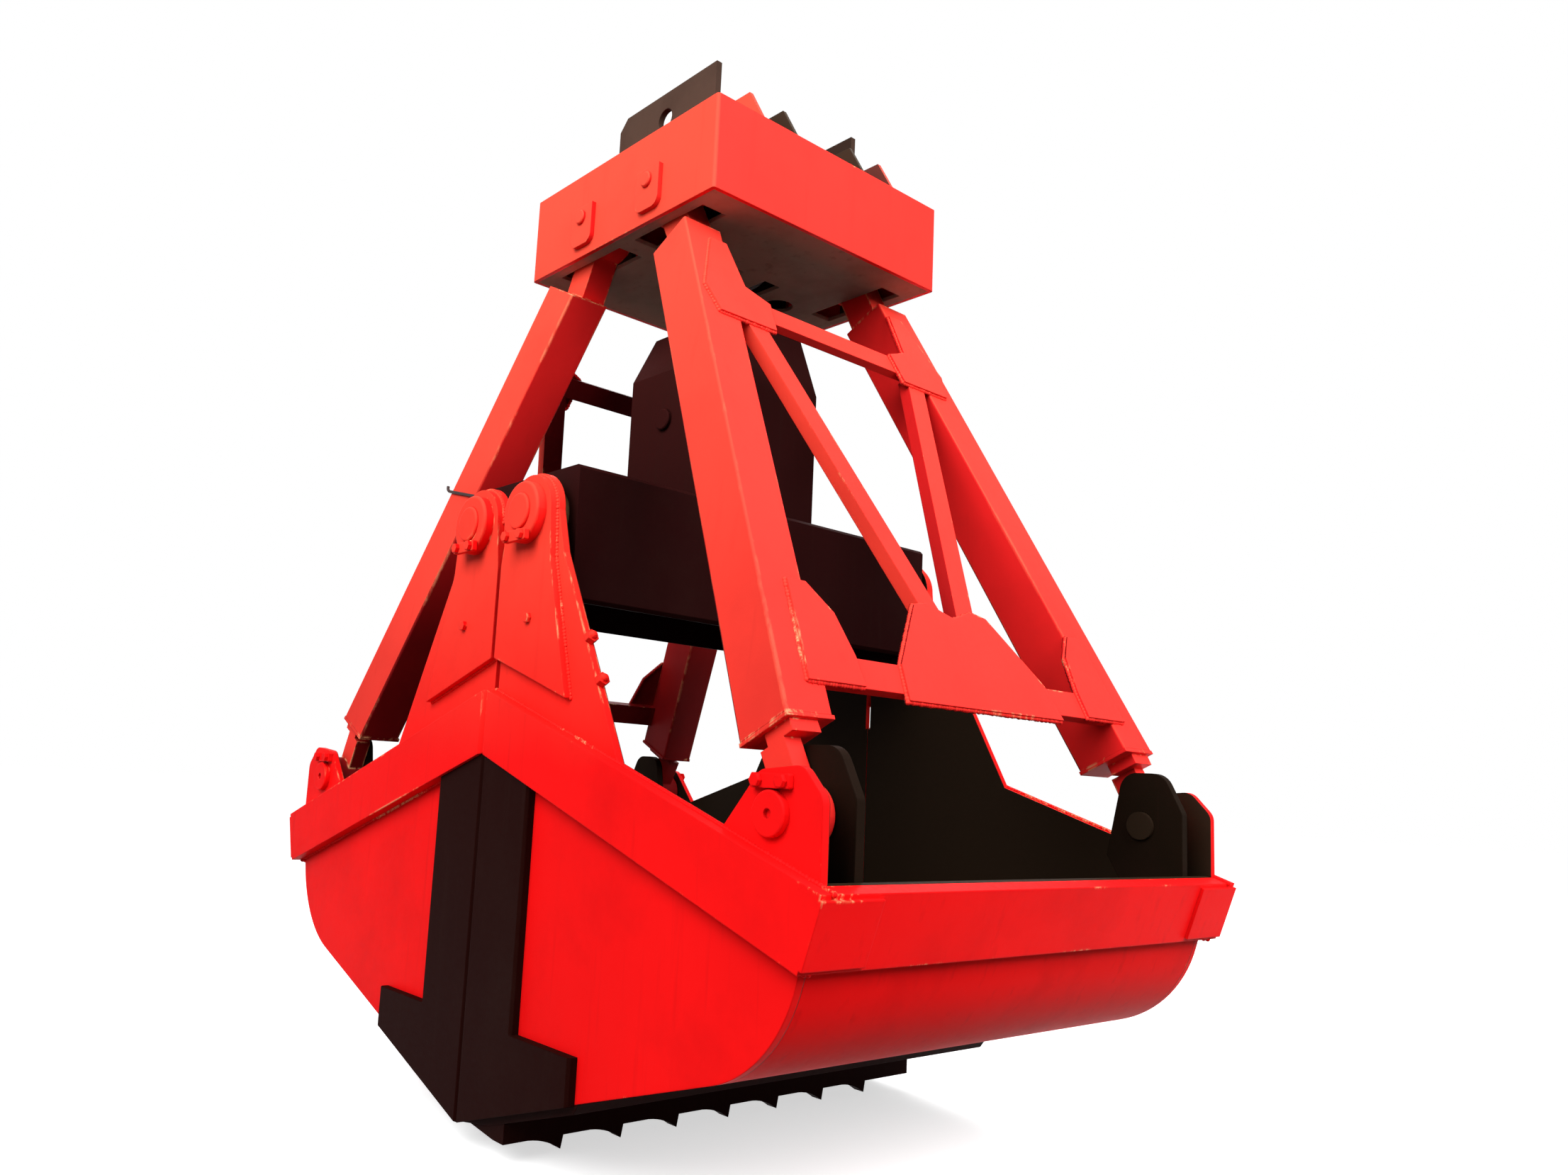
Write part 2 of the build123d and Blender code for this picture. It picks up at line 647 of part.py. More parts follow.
# Arms: feet with stepped plates and an eye between the ears
foot_outer = end_face - end_plate - foot_gap
foot_inner = inner_ear_face + foot_gap
foot_neck_outer = foot_outer - foot_neck_in
with BuildPart() as feet:
    with BuildSketch(near(foot_outer)):
        with Locations((ear_x, up(ear_height))):
            Circle(foot_eye_radius)
    extrude(amount=foot_inner - foot_outer)
    with BuildSketch(near(foot_neck_outer)):
        with Locations(on_arm(foot_step / 2)):
            Rectangle(foot_step, foot_neck)
    extrude(amount=foot_inner - foot_neck_outer)
    with BuildSketch(pair_plane(foot_step_out - foot_step_depth / 2)):
        shape(
            (-foot_neck_outer, foot_step),
            (foot_step_width - foot_neck_outer, foot_step),
            (foot_step_width - foot_neck_outer, foot_step_top),
            (-foot_neck_outer, foot_step_top),
        )
    extrude(amount=foot_step_depth)
    with BuildSketch(pair_plane(-arm_depth / 2)):
        shape(
            (-arm_outer(foot_step_top), foot_step_top),
            (foot_lap - arm_inner(foot_step_top), foot_step_top),
            (foot_lap - arm_inner(arm_start), arm_start),
            (-arm_outer(arm_start), arm_start),
        )
    extrude(amount=arm_depth)
    with BuildSketch(near(foot_outer)):
        with Locations((ear_x, up(ear_height))):
            Circle(ear_pin_radius + running_gap + foot_bush_wall + seat_gap)
    extrude(amount=foot_inner - foot_outer, mode=Mode.SUBTRACT)
    mirror(about=Plane.XZ)
save_pair(feet, "feet")

with BuildPart() as foot_bushes:
    with BuildSketch(near(foot_outer)):
        with Locations((ear_x, up(ear_height))):
            Circle(ear_pin_radius + running_gap + foot_bush_wall)
            Circle(ear_pin_radius + running_gap, mode=Mode.SUBTRACT)
    extrude(amount=foot_inner - foot_outer)
    mirror(about=Plane.XZ)
save_pair(foot_bushes, "foot_bushes")

# Arms: head eyes, wide rings round the head pins
arm_eye_bore = arm_pin_radius + arm_eye_play
neck_length = arm_length - arm_end - arm_eye_bore
with BuildPart() as head_eyes:
    with BuildSketch(near(head_eye_inner)):
        with Locations((arm_pin_x, up(arm_pin_height))):
            Circle(arm_eye_bore + arm_eye_wall)
        with Locations(on_arm(arm_end + neck_length / 2)):
            Rectangle(neck_length, head_neck)
        with Locations((arm_pin_x, up(arm_pin_height))):
            Circle(arm_eye_bore, mode=Mode.SUBTRACT)
    extrude(amount=head_eye_thick)
    mirror(about=Plane.XZ)
save_pair(head_eyes, "head_eyes")

# Head: welded box, open below
head_inside_top = head_top - head_plate
with BuildPart() as head_casing:
    with BuildSketch(Plane.XY.offset(up(head_bottom))):
        Rectangle(head_length, head_width)
    extrude(amount=head_top - head_bottom)
    fillet(head_casing.edges().filter_by(Axis.Z), radius=head_round)
    with BuildSketch(Plane.XY.offset(up(head_bottom))):
        Rectangle(head_length - 2 * head_plate, head_width - 2 * head_plate)
    extrude(amount=head_inside_top - head_bottom, mode=Mode.SUBTRACT)
    with BuildSketch(Plane.XY.offset(up(head_top))):
        with GridLocations(1, 2 * rope_y, 1, 2):
            Circle(rope_radius + rope_bush_wall)
    extrude(amount=-head_plate, mode=Mode.SUBTRACT)
    with BuildSketch(near(head_width / 2)):
        with Locations((arm_pin_x, up(arm_pin_height)), (-arm_pin_x, up(arm_pin_height))):
            Circle(arm_pin_radius + seat_gap)
    extrude(amount=-head_width, mode=Mode.SUBTRACT)
save(head_casing, "head_casing")

# Head: base plate with the slots for the arms and the rope falls
eye_middle = head_eye_inner + head_eye_thick / 2
with BuildPart() as head_base:
    with BuildSketch(Plane.XY.offset(up(head_bottom))):
        Rectangle(head_length - 2 * head_plate, head_width - 2 * head_plate)
        with GridLocations(slot_inner + slot_outer, 2 * eye_middle, 2, 2):
            Rectangle(slot_outer - slot_inner, head_eye_thick + 2 * slot_side_gap, mode=Mode.SUBTRACT)
        with GridLocations(1, 2 * rope_y, 1, 2):
            Circle(rope_radius + rope_bush_wall, mode=Mode.SUBTRACT)
        with GridLocations(1, 2 * upper_sheave_y, 1, 2):
            Rectangle(2 * upper_sheave_radius, upper_sheave_width + 20, mode=Mode.SUBTRACT)
    extrude(amount=head_plate)
save(head_base, "head_base")

# Head: sheave plates and shaft
base_top = head_bottom + head_plate
with BuildPart() as head_sheave_plates:
    with BuildSketch(near(sheave_plate_inner)):
        outline(
            (-sheave_plate_base, base_top),
            (sheave_plate_base, base_top),
            (sheave_plate_crown, head_inside_top),
            (-sheave_plate_crown, head_inside_top),
        )
        with Locations((0, up(upper_shaft_height))):
            Circle(upper_shaft_radius + seat_gap, mode=Mode.SUBTRACT)
    extrude(amount=sheave_plate)
    mirror(about=Plane.XZ)
save(head_sheave_plates, "head_sheave_plates")

with BuildPart() as upper_shaft:
    with BuildSketch(near(0)):
        with Locations((0, up(upper_shaft_height))):
            Circle(upper_shaft_radius)
    extrude(amount=sheave_plate_inner + sheave_plate + 8, both=True)
    chamfer(upper_shaft.edges().filter_by(GeomType.CIRCLE), length=shaft_chamfer)
save(upper_shaft, "upper_shaft")


# Head: brackets for the arms' head eyes, pads round the pin ends outside the box, and the pins
bracket_inner = head_eye_inner - bracket_gap
bracket_outer = head_eye_inner + head_eye_thick + bracket_gap
pad_low = up(arm_pin_height - pin_pad_below)
with BuildPart() as arm_brackets:
    for face in (bracket_inner, bracket_outer + bracket_plate):
        with BuildSketch(near(face)):
            outline(
                (arm_pin_x - bracket_length / 2, base_top),
                (arm_pin_x + bracket_length / 2, base_top),
                (arm_pin_x + bracket_length / 2, head_inside_top),
                (arm_pin_x - bracket_length / 2, head_inside_top),
            )
            with Locations((arm_pin_x, up(arm_pin_height))):
                Circle(arm_pin_radius + seat_gap, mode=Mode.SUBTRACT)
        extrude(amount=-bracket_plate)
    with BuildSketch(near(head_width / 2)) as pad_outline:
        with Locations((arm_pin_x, up(arm_pin_height + (pin_pad_above - pin_pad_below) / 2))):
            Rectangle(pin_pad_width, pin_pad_above + pin_pad_below)
        for x in (arm_pin_x - pin_pad_width / 2, arm_pin_x + pin_pad_width / 2):
            round_corner(pad_outline, x, pad_low, pin_pad_round)
        with Locations((arm_pin_x, up(arm_pin_height))):
            Circle(arm_pin_radius + seat_gap, mode=Mode.SUBTRACT)
    extrude(amount=pin_pad)
    mirror(about=Plane.XZ)
    mirror(about=Plane.YZ)
save(arm_brackets, "arm_brackets")

pin_end = head_width / 2 + pin_pad + pin_stick_out
with BuildPart() as arm_pins:
    with BuildSketch(near(pin_end)):
        with Locations((arm_pin_x, up(arm_pin_height))):
            Circle(arm_pin_radius)
    extrude(amount=bracket_inner - bracket_plate - pin_end)
    chamfer(arm_pins.edges().filter_by(GeomType.CIRCLE).sort_by(Axis.Y)[0], length=shaft_chamfer)
    mirror(about=Plane.XZ)
    mirror(about=Plane.YZ)
save(arm_pins, "arm_pins")

# Head: bell-mouthed rope bushes, rope guide cheeks and suspension lugs on the top
with BuildPart() as rope_bushes:
    with BuildSketch(Plane.YZ):
        bush_top = head_top + rope_bush_rise
        outline(
            (rope_y + rope_radius, head_inside_top),
            (rope_y + rope_radius + rope_bush_wall, head_inside_top),
            (rope_y + rope_radius + rope_bush_wall, bush_top),
            (rope_y + rope_radius + rope_flare, bush_top),
            (rope_y + rope_radius, bush_top - rope_flare_depth),
        )
    revolve(axis=Axis((0, rope_y, 0), (0, 0, 1)))
    mirror(about=Plane.XZ)
save(rope_bushes, "rope_bushes")

with BuildPart() as guide_cheeks:
    for face in (cheek_inner + cheek_plate, cheek_outer + cheek_plate):
        with BuildSketch(near(face)):
            outline(
                (-cheek_base_half, head_top),
                (cheek_base_half, head_top),
                (cheek_top_half, head_top + cheek_rise),
                (-cheek_top_half, head_top + cheek_rise),
            )
        extrude(amount=-cheek_plate)
    mirror(about=Plane.XZ)
save(guide_cheeks, "guide_cheeks")

lug_face = cheek_outer + cheek_plate
with BuildPart() as suspension_lugs:
    with BuildSketch(near(lug_face)):
        outline(
            (-lug_half, head_top),
            (lug_half, head_top),
            (lug_half, head_top + lug_rise),
            (lug_cut - lug_half, head_top + lug_rise),
            (-lug_half, head_top + lug_rise - lug_cut),
        )
        Circle(lug_bore_radius, mode=Mode.SUBTRACT)
    extrude(amount=lug_plate)
    mirror(about=Plane.XZ)
save(suspension_lugs, "suspension_lugs")

# Lower block: box open below, with thick end walls for the hinge bushes
with BuildPart() as block_casing:
    with BuildSketch(Plane.XY.offset(up(block_bottom))):
        Rectangle(2 * block_half, 2 * block_end)
    extrude(amount=block_top - block_bottom)
    chamfer(block_casing.edges().filter_by(Axis.Y), length=block_chamfer)
    with BuildSketch(Plane.XY.offset(up(block_bottom))):
        Rectangle(2 * (block_half - block_wall), 2 * (block_end - block_end_wall))
    extrude(amount=block_top - block_wall - block_bottom, mode=Mode.SUBTRACT)
    with BuildSketch(near(block_end)):
        with Locations((hinge_x, up(hinge_height)), (-hinge_x, up(hinge_height))):
            Circle(hinge_pin_radius + running_gap + bush_wall + seat_gap)
    extrude(amount=-2 * block_end, mode=Mode.SUBTRACT)
    with BuildSketch(Plane.XY.offset(up(block_top))):
        Rectangle(1.5 * housing_half_x, 1.5 * housing_half_y)
    extrude(amount=-block_wall, mode=Mode.SUBTRACT)
save(block_casing, "block_casing")

with BuildPart() as hinge_bushes:
    for side in (-1, 1):
        with BuildSketch(near(block_end - block_end_wall)):
            with Locations((side * hinge_x, up(hinge_height))):
                Circle(hinge_pin_radius + running_gap + bush_wall)
                Circle(hinge_pin_radius + running_gap, mode=Mode.SUBTRACT)
        extrude(amount=block_end_wall)
        with BuildSketch(near(block_end)):
            with Locations((side * hinge_x, up(hinge_height))):
                Circle(bush_flange_radius)
                Circle(hinge_pin_radius + running_gap, mode=Mode.SUBTRACT)
        extrude(amount=bush_flange)
    mirror(about=Plane.XZ)
save(hinge_bushes, "hinge_bushes")

# Lower block: sheave housing with cut top corners, its shaft and sheaves
with BuildPart() as sheave_housing:
    with BuildSketch(Plane.YZ):
        outline(
            (-housing_half_y, block_top),
            (housing_half_y, block_top),
            (housing_half_y, housing_top - housing_cut_z),
            (housing_half_y - housing_cut_y, housing_top),
            (housing_cut_y - housing_half_y, housing_top),
            (-housing_half_y, housing_top - housing_cut_z),
        )
    extrude(amount=housing_half_x, both=True)
    with BuildSketch(Plane.YZ):
        outline(
            (housing_wall - housing_half_y, block_top),
            (housing_half_y - housing_wall, block_top),
            (housing_half_y - housing_wall, housing_top - housing_cut_z - housing_wall / 4),
            (housing_half_y - housing_cut_y - housing_wall, housing_top - housing_wall),
            (housing_wall + housing_cut_y - housing_half_y, housing_top - housing_wall),
            (housing_wall - housing_half_y, housing_top - housing_cut_z - housing_wall / 4),
        )
    extrude(amount=housing_half_x - housing_wall, both=True, mode=Mode.SUBTRACT)
    with BuildSketch(Plane.XY.offset(up(housing_top))):
        Rectangle(2 * housing_mouth_half, 2 * (housing_half_y - housing_cut_y - housing_mouth_edge))
    extrude(amount=-housing_wall, mode=Mode.SUBTRACT)
    with BuildSketch(near(housing_half_y)):
        with Locations((0, up(lower_shaft_height))):
            Circle(lower_shaft_radius + seat_gap)
    extrude(amount=-2 * housing_half_y, mode=Mode.SUBTRACT)
save(sheave_housing, "sheave_housing")

with BuildPart() as lower_shaft:
    with BuildSketch(near(0)):
        with Locations((0, up(lower_shaft_height))):
            Circle(lower_shaft_radius)
    extrude(amount=housing_half_y + shaft_stick_out, both=True)
    chamfer(lower_shaft.edges().filter_by(GeomType.CIRCLE), length=shaft_chamfer)
save(lower_shaft, "lower_shaft")

# Grooved sheaves, turned about their shafts
upper = (upper_sheave_radius, upper_sheave_width, upper_shaft_radius, upper_shaft_height)
lower = (lower_sheave_radius, lower_sheave_width, lower_shaft_radius, lower_shaft_height)
for name, size, middle in (
    ("upper_sheave_near", upper, -upper_sheave_y),
    ("upper_sheave_far", upper, upper_sheave_y),
    ("lower_sheave_near", lower, -lower_sheave_y),
    ("lower_sheave_far", lower, lower_sheave_y),
):
    radius, width, shaft, height = size
    bore = shaft + running_gap
    rim = radius - groove_depth - 14
    half = width / 2
    with BuildPart() as sheave:
        with BuildSketch(Plane(origin=(0, middle, up(height)), x_dir=(0, 1, 0), z_dir=(1, 0, 0))):
            with BuildLine() as half_section:
                Polyline(
                    (0, bore),
                    (half, bore),
                    (half, sheave_hub),
                    (sheave_web / 2, sheave_hub + 6),
                    (sheave_web / 2, rim - 6),
                    (half - 4, rim),
                    (half - 4, radius),
                    (half - 12, radius),
                    (8, radius - groove_depth),
                    (0, radius - groove_depth),
                )
                mirror(about=Plane.YZ)
            make_face()
        revolve(axis=Axis((0, 0, up(height)), (0, 1, 0)))
    save(sheave, name)
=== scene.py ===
"""Looks of the clamshell grab: paint, wear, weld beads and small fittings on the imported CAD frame."""
import math

import bmesh
import bpy
from mathutils import Matrix, Vector


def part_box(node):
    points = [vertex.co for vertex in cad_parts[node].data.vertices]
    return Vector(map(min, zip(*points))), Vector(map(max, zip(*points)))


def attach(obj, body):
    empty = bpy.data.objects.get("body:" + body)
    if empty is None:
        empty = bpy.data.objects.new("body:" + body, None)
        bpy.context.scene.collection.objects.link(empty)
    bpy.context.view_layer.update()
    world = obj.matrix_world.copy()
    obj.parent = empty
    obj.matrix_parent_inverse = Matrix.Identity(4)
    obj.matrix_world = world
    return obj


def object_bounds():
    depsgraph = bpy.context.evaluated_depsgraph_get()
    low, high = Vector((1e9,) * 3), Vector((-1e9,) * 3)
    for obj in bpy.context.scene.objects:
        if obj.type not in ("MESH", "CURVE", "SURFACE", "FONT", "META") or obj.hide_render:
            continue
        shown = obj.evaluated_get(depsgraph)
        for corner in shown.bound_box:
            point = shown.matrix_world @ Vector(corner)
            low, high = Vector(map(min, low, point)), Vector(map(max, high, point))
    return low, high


bl_info = {
    "name": "Clamshell grab looks",
    "version": (1, 0, 0),
    "blender": (4, 5, 0),
    "location": "View3D > Sidebar > Grab",
    "description": "Paints the clamshell grab, lays its weld beads and sets the studio",
    "category": "Object",
}

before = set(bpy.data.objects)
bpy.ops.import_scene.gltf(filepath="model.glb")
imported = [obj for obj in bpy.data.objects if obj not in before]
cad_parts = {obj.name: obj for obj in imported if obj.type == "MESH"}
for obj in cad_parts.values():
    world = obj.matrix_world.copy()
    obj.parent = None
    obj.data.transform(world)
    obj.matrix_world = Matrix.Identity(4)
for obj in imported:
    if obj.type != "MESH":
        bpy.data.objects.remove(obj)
cad_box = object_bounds()

HANDS = (("right", 1), ("left", -1))

# Sizes of the CAD model in metres. Heights are measured up from the tip of the closed shells.
SUSPENSION_HEIGHT = 3.549
END_FACE = 0.914
END_PLATE = 0.024
HEAD_HALF_WIDTH = 0.57
CHEEK_MIDDLE = 0.26
HINGE_EDGE_TOP = (0.337, 1.74)
HINGE_EDGE_FOOT = (0.68, 1.102)
ARM_FOOT = (1.3, 1.0)
ARM_RUN = (1.1, 2.14)
ARM_WIDTH = 0.165
ARM_HALF_DEPTH = 0.0925
ARM_OUTER_FOOT = 0.895
ARM_LEAN = 0.15

# Faces nearer the middle than these half widths are on the inside of their pieces.
BRACKET_INSIDE = HEAD_HALF_WIDTH - 0.005
PLATE_INSIDE = END_FACE - END_PLATE + 0.004

# Middle of the right shell's bowl, as X and height.
BOWL_MIDDLE = (0.6, 1.2)

# Heights over which each paint goes from its deep to its pale colour, the pale colour being painted light.
UPPER_SPAN = (1.2, 3.2)
SHELL_SPAN = (1.1, 1.75)
BLOCK_SPAN = (1.6, 2.75)
LUG_SPAN = (3.2, 3.4)
UNDERSIDE_SPAN = (2.9, 3.3)
INSIDE_SPAN = (0.5, 1.2)
LIP_SPAN = (0.0, 1.2)

# Dirt colours, which also paint the shade in creases; painted shade of inward faces; pale edge marks, partly
# rubbed paint, partly painted highlight; and the painted shade colour of the cheeks.
UPPER_DIRT_AND_SHADE = (0.4, 0.012, 0.009)
SHELL_DIRT_AND_SHADE = (0.25, 0.002, 0.003)
DARK_DIRT_AND_SHADE = (0.02, 0.008, 0.006)
ARM_INNER_SHADE = (0.1, 0.003, 0.004)
BEAM_INNER_SHADE = (0.05, 0.003, 0.004)
DARK_CHIPS_AND_GLINTS = (0.07, 0.03, 0.025)
LUG_CHIPS_AND_GLINTS = (0.2, 0.12, 0.09)
CHEEK_SHADE = (0.12, 0.03, 0.022)

# Bare metals: colour, roughness and metallic.
METALS = {
    "turned_steel": ((0.42, 0.4, 0.38), 0.38, 1.0),
    "cast_sheave_iron": ((0.1, 0.09, 0.085), 0.55, 0.6),
    "bush_bronze": ((0.13, 0.075, 0.035), 0.45, 1.0),
    "tie_wire": ((0.03, 0.008, 0.007), 0.6, 0.3),
}

# Shares of the common edge marks, grime and colours that single finishes take; the edge marks are partly
# rubbed paint, partly painted highlight.
ARM_WEAR_AND_GLINT_SHARE = 1.45
PAN_GRIME_SHARE = 1.4
CHEEK_INSIDE_SHARE = 2.0
LUG_SHADE_SHARE = 0.5
EAR_SHARE = 0.45
STAIN_AND_SHADE_SHARE = 0.35

# Painted shade on the inward faces comes in over this share of a paint's span, up to this strength.
INNER_SHADE_REACH = 0.55
INNER_SHADE_STRENGTH = 0.92

# Brightness of the slow clouds in the paint, from dull to bright.
CLOUD_BRIGHTNESS = (0.93, 1.05)

# How far the roughness of paint and of bare metal falls below its middle value and rises above it.
PAINT_SPREAD = (0.08, 0.14)
METAL_SPREAD = (0.1, 0.15)

# Edges of a CAD node that turn by more than this are sharp; points and planes this near count as the same.
SHARP_TURN = math.radians(25)
SAME_POINT = 1e-5
SAME_PLANE = 1e-4

# Half length of a weld ripple as a share of the spacing, and radius of a bolt's dome as a share of its head.
RIPPLE_SHARE = 0.75
DOME_SHARE = 0.7

# Edges this near the seam between the shells get no bead, unless they span the second value along X.
SEAM_CLEAR = 0.03
SEAM_SPAN = 0.05

# Edges of the sheave housing's foot beyond these X and Y are on its outside.
HOUSING_OUTSIDE = (0.2, 0.28)

# Distances of the edge bolts from the top of the hinge arm's edge.
EDGE_BOLTS = (0.315, 0.461)

# Points of the tie's loose end, from its first corner: out from the arm, up along it and off its near face.
TIE_END = ((0.01, 0.003, 0.004), (0.017, 0.015, 0.003))

# Stage: places and aims of the lamps, and the floor.
KEY_PLACE = (1.6, -7.0, 2.6)
FILL_PLACE = (6.7, 0.5, 2.4)
BACK_PLACE = (-5.0, 6.0, 4.5)
LAMP_AIM = (0, 0, -1.9)
FILL_AIM = (0.4, 0, -1.9)
LAMP_SIZE = 6.0
WHITE = (1, 1, 1, 1)
FLOOR_RADIUS = 60
FLOOR_COLOUR = (0.8, 0.8, 0.8, 1)
FLOOR_GLOW = 0.62
FLOOR_BOUNCE = (0.08, 0.075, 0.075, 1)

# The camera at the photograph's angle: place in metres, angles in degrees, lens and sensor in millimetres.
CAMERA_PLACE = (3.2989, -2.8664, -2.479)
CAMERA_AZIMUTH = 50.6731
CAMERA_ELEVATION = -8.2936
CAMERA_ROLL = 3.185
CAMERA_LENS = 26.814
CAMERA_SENSOR = 36
CAMERA_SHIFT = (0.066, 0.0131)


def up(height):
    """Z of a height above the closed lip tip."""
    return height - SUSPENSION_HEIGHT


def arm_axes(side):
    """Foot pin of an arm pair and the directions along and out of it; side is 1 for the right pair."""
    run, climb = ARM_RUN
    length = math.hypot(run, climb)
    foot = Vector((side * ARM_FOOT[0], 0, up(ARM_FOOT[1])))
    along = Vector((-side * run, 0, climb)) / length
    outward = Vector((side * climb, 0, run)) / length
    return foot, along, outward


class GrabPaint(bpy.types.PropertyGroup):
    """Colours and finish of the paint."""

    # Lit copy of the upper red, on high faces turned to the light: painted light.
    lit_red: bpy.props.FloatVectorProperty(
        name="Head red", description="Paint at the height of the head",
        default=(0.86, 0.077, 0.043), size=3, min=0, max=1, subtype="COLOR")
    # Shaded copy of the upper red, on faces away from the light: painted shade.
    shade_red: bpy.props.FloatVectorProperty(
        name="Sheltered red", description="Paint of the head and arms where the sun doesn't reach",
        default=(0.84, 0.016, 0.016), size=3, min=0, max=1, subtype="COLOR")
    # Lit copy of the shell red, high on the shells and on faces turned to the light: painted light.
    lit_shell_red: bpy.props.FloatVectorProperty(
        name="Hinge red", description="Paint at the hinge ends of the shells",
        default=(0.9, 0.05, 0.029), size=3, min=0, max=1, subtype="COLOR")
    shell_red: bpy.props.FloatVectorProperty(
        name="Shell red", description="Paint of the shells",
        default=(0.9, 0.0058, 0.0064), size=3, min=0, max=1, subtype="COLOR")
    block: bpy.props.FloatVectorProperty(
        name="Block paint", description="Dark paint of the lower block",
        default=(0.0145, 0.0024, 0.0024), size=3, min=0, max=1, subtype="COLOR")
    # Shows on high faces turned to the light: partly the housing's own tone, partly painted light.
    housing: bpy.props.FloatVectorProperty(
        name="Housing paint", description="Dark paint at the top of the sheave housing",
        default=(0.04, 0.008, 0.007), size=3, min=0, max=1, subtype="COLOR")
    lug: bpy.props.FloatVectorProperty(
        name="Lug paint", description="Brown paint of the suspension lugs",
        default=(0.075, 0.044, 0.032), size=3, min=0, max=1, subtype="COLOR")
    underside: bpy.props.FloatVectorProperty(
        name="Underside paint", description="Brown paint under the head",
        default=(0.42, 0.34, 0.25), size=3, min=0, max=1, subtype="COLOR")
    # Near-black of the inward faces: partly dark paint, partly painted shade of the deep interior.
    inside: bpy.props.FloatVectorProperty(
        name="Inside black", description="Colour inside the shells and the head",
        default=(0.019, 0.011, 0.0062), size=3, min=0, max=1, subtype="COLOR")
    lip: bpy.props.FloatVectorProperty(
        name="Lip black", description="Paint of the cutting lips and teeth",
        default=(0.0125, 0.0022, 0.0016), size=3, min=0, max=1, subtype="COLOR")
    # Pale colour of the edge marks: partly rubbed paint, partly painted highlight along the edges.
    chips_and_glints: bpy.props.FloatVectorProperty(
        name="Chips", description="Colour where the paint is rubbed off an edge",
        default=(0.92, 0.5, 0.24), size=3, min=0, max=1, subtype="COLOR")
    wear_and_glint: bpy.props.FloatProperty(
        name="Edge wear", description="How much of the edges is rubbed bare",
        default=0.45, min=0, max=1, subtype="FACTOR")
    grime: bpy.props.FloatProperty(
        name="Grime", description="How much dirt lies on the paint",
        default=0.22, min=0, max=1, subtype="FACTOR")


class GrabWelds(bpy.types.PropertyGroup):
    """Sizes of the weld beads."""

    width: bpy.props.FloatProperty(
        name="Bead width", description="Half width of a weld bead",
        default=0.008, min=0.002, max=0.03, unit="LENGTH")
    spacing: bpy.props.FloatProperty(
        name="Bead spacing", description="Distance from one ripple of the bead to the next",
        default=0.011, min=0.004, max=0.05, unit="LENGTH")
    seed: bpy.props.IntProperty(
        name="Seed", description="Changes the unevenness of the beads", default=7)


class GrabFittings(bpy.types.PropertyGroup):
    """Sizes of the edge bolts and the wire tie."""

    bolt_radius: bpy.props.FloatProperty(
        name="Bolt radius", description="Radius of a bolt head on the hinge arm's edge",
        default=0.021, min=0.005, max=0.05, unit="LENGTH")
    bolt_height: bpy.props.FloatProperty(
        name="Bolt height", description="Height of a bolt head on the hinge arm's edge",
        default=0.02, min=0.005, max=0.05, unit="LENGTH")
    tie_radius: bpy.props.FloatProperty(
        name="Tie radius", description="Radius of the wire tied round the left near arm",
        default=0.006, min=0.001, max=0.02, unit="LENGTH")
    tie_height: bpy.props.FloatProperty(
        name="Tie height", description="Distance of the tie from the foot pin, along the arm",
        default=1.243, min=0.4, max=2.0, unit="LENGTH")
    tie_slant: bpy.props.FloatProperty(
        name="Tie slant", description="How much higher the tie lies on the inner side of the arm",
        default=0.047, min=0, max=0.3, unit="LENGTH")
    tie_bend: bpy.props.FloatProperty(
        name="Tie bend", description="Radius of the wire's bends round the arm",
        default=0.016, min=0.002, max=0.05, unit="LENGTH")


class GrabStage(bpy.types.PropertyGroup):
    """Floor and light."""

    floor_drop: bpy.props.FloatProperty(
        name="Floor drop", description="Gap between the teeth and the floor",
        default=0.02, min=0, max=5, unit="LENGTH")
    key_power: bpy.props.FloatProperty(
        name="Key light", description="Power of the large front lamp",
        default=830, min=0, unit="POWER")
    fill_power: bpy.props.FloatProperty(
        name="Fill light", description="Power of the side lamp",
        default=910, min=0, unit="POWER")
    back_power: bpy.props.FloatProperty(
        name="Back light", description="Power of the lamp behind the grab",
        default=420, min=0, unit="POWER")
    zenith: bpy.props.FloatProperty(
        name="Sky above", description="Strength of the even light from above",
        default=0.65, min=0, max=2)
    horizon: bpy.props.FloatProperty(
        name="Sky round about", description="Strength of the even light from the sides",
        default=0.15, min=0, max=2)


class GrabLooks(bpy.types.PropertyGroup):
    """All settings of the grab's looks."""

    paint: bpy.props.PointerProperty(type=GrabPaint)
    welds: bpy.props.PointerProperty(type=GrabWelds)
    fittings: bpy.props.PointerProperty(type=GrabFittings)
    stage: bpy.props.PointerProperty(type=GrabStage)


def looks():
    """The settings in use."""
    return bpy.context.scene.grab_looks


def feed(tree, socket, value):
    """Links a node's output to an input, or sets the input to a plain value."""
    if isinstance(value, bpy.types.NodeSocket):
        tree.links.new(value, socket)
    else:
        socket.default_value = value


def add(tree, kind, values=None, **settings):
    """Adds a node, sets its attributes and feeds its named or numbered inputs."""
    made = tree.nodes.new(kind)
    for name, value in settings.items():
        setattr(made, name, value)
    for name, value in (values or {}).items():
        feed(tree, made.inputs[name], value)
    return made


def made_once(name):
    """Marks the builder of a node group, so that the group is built only on first use."""
    def mark(build):
        def give():
            return bpy.data.node_groups.get(name) or build(name)
        return give
    return mark


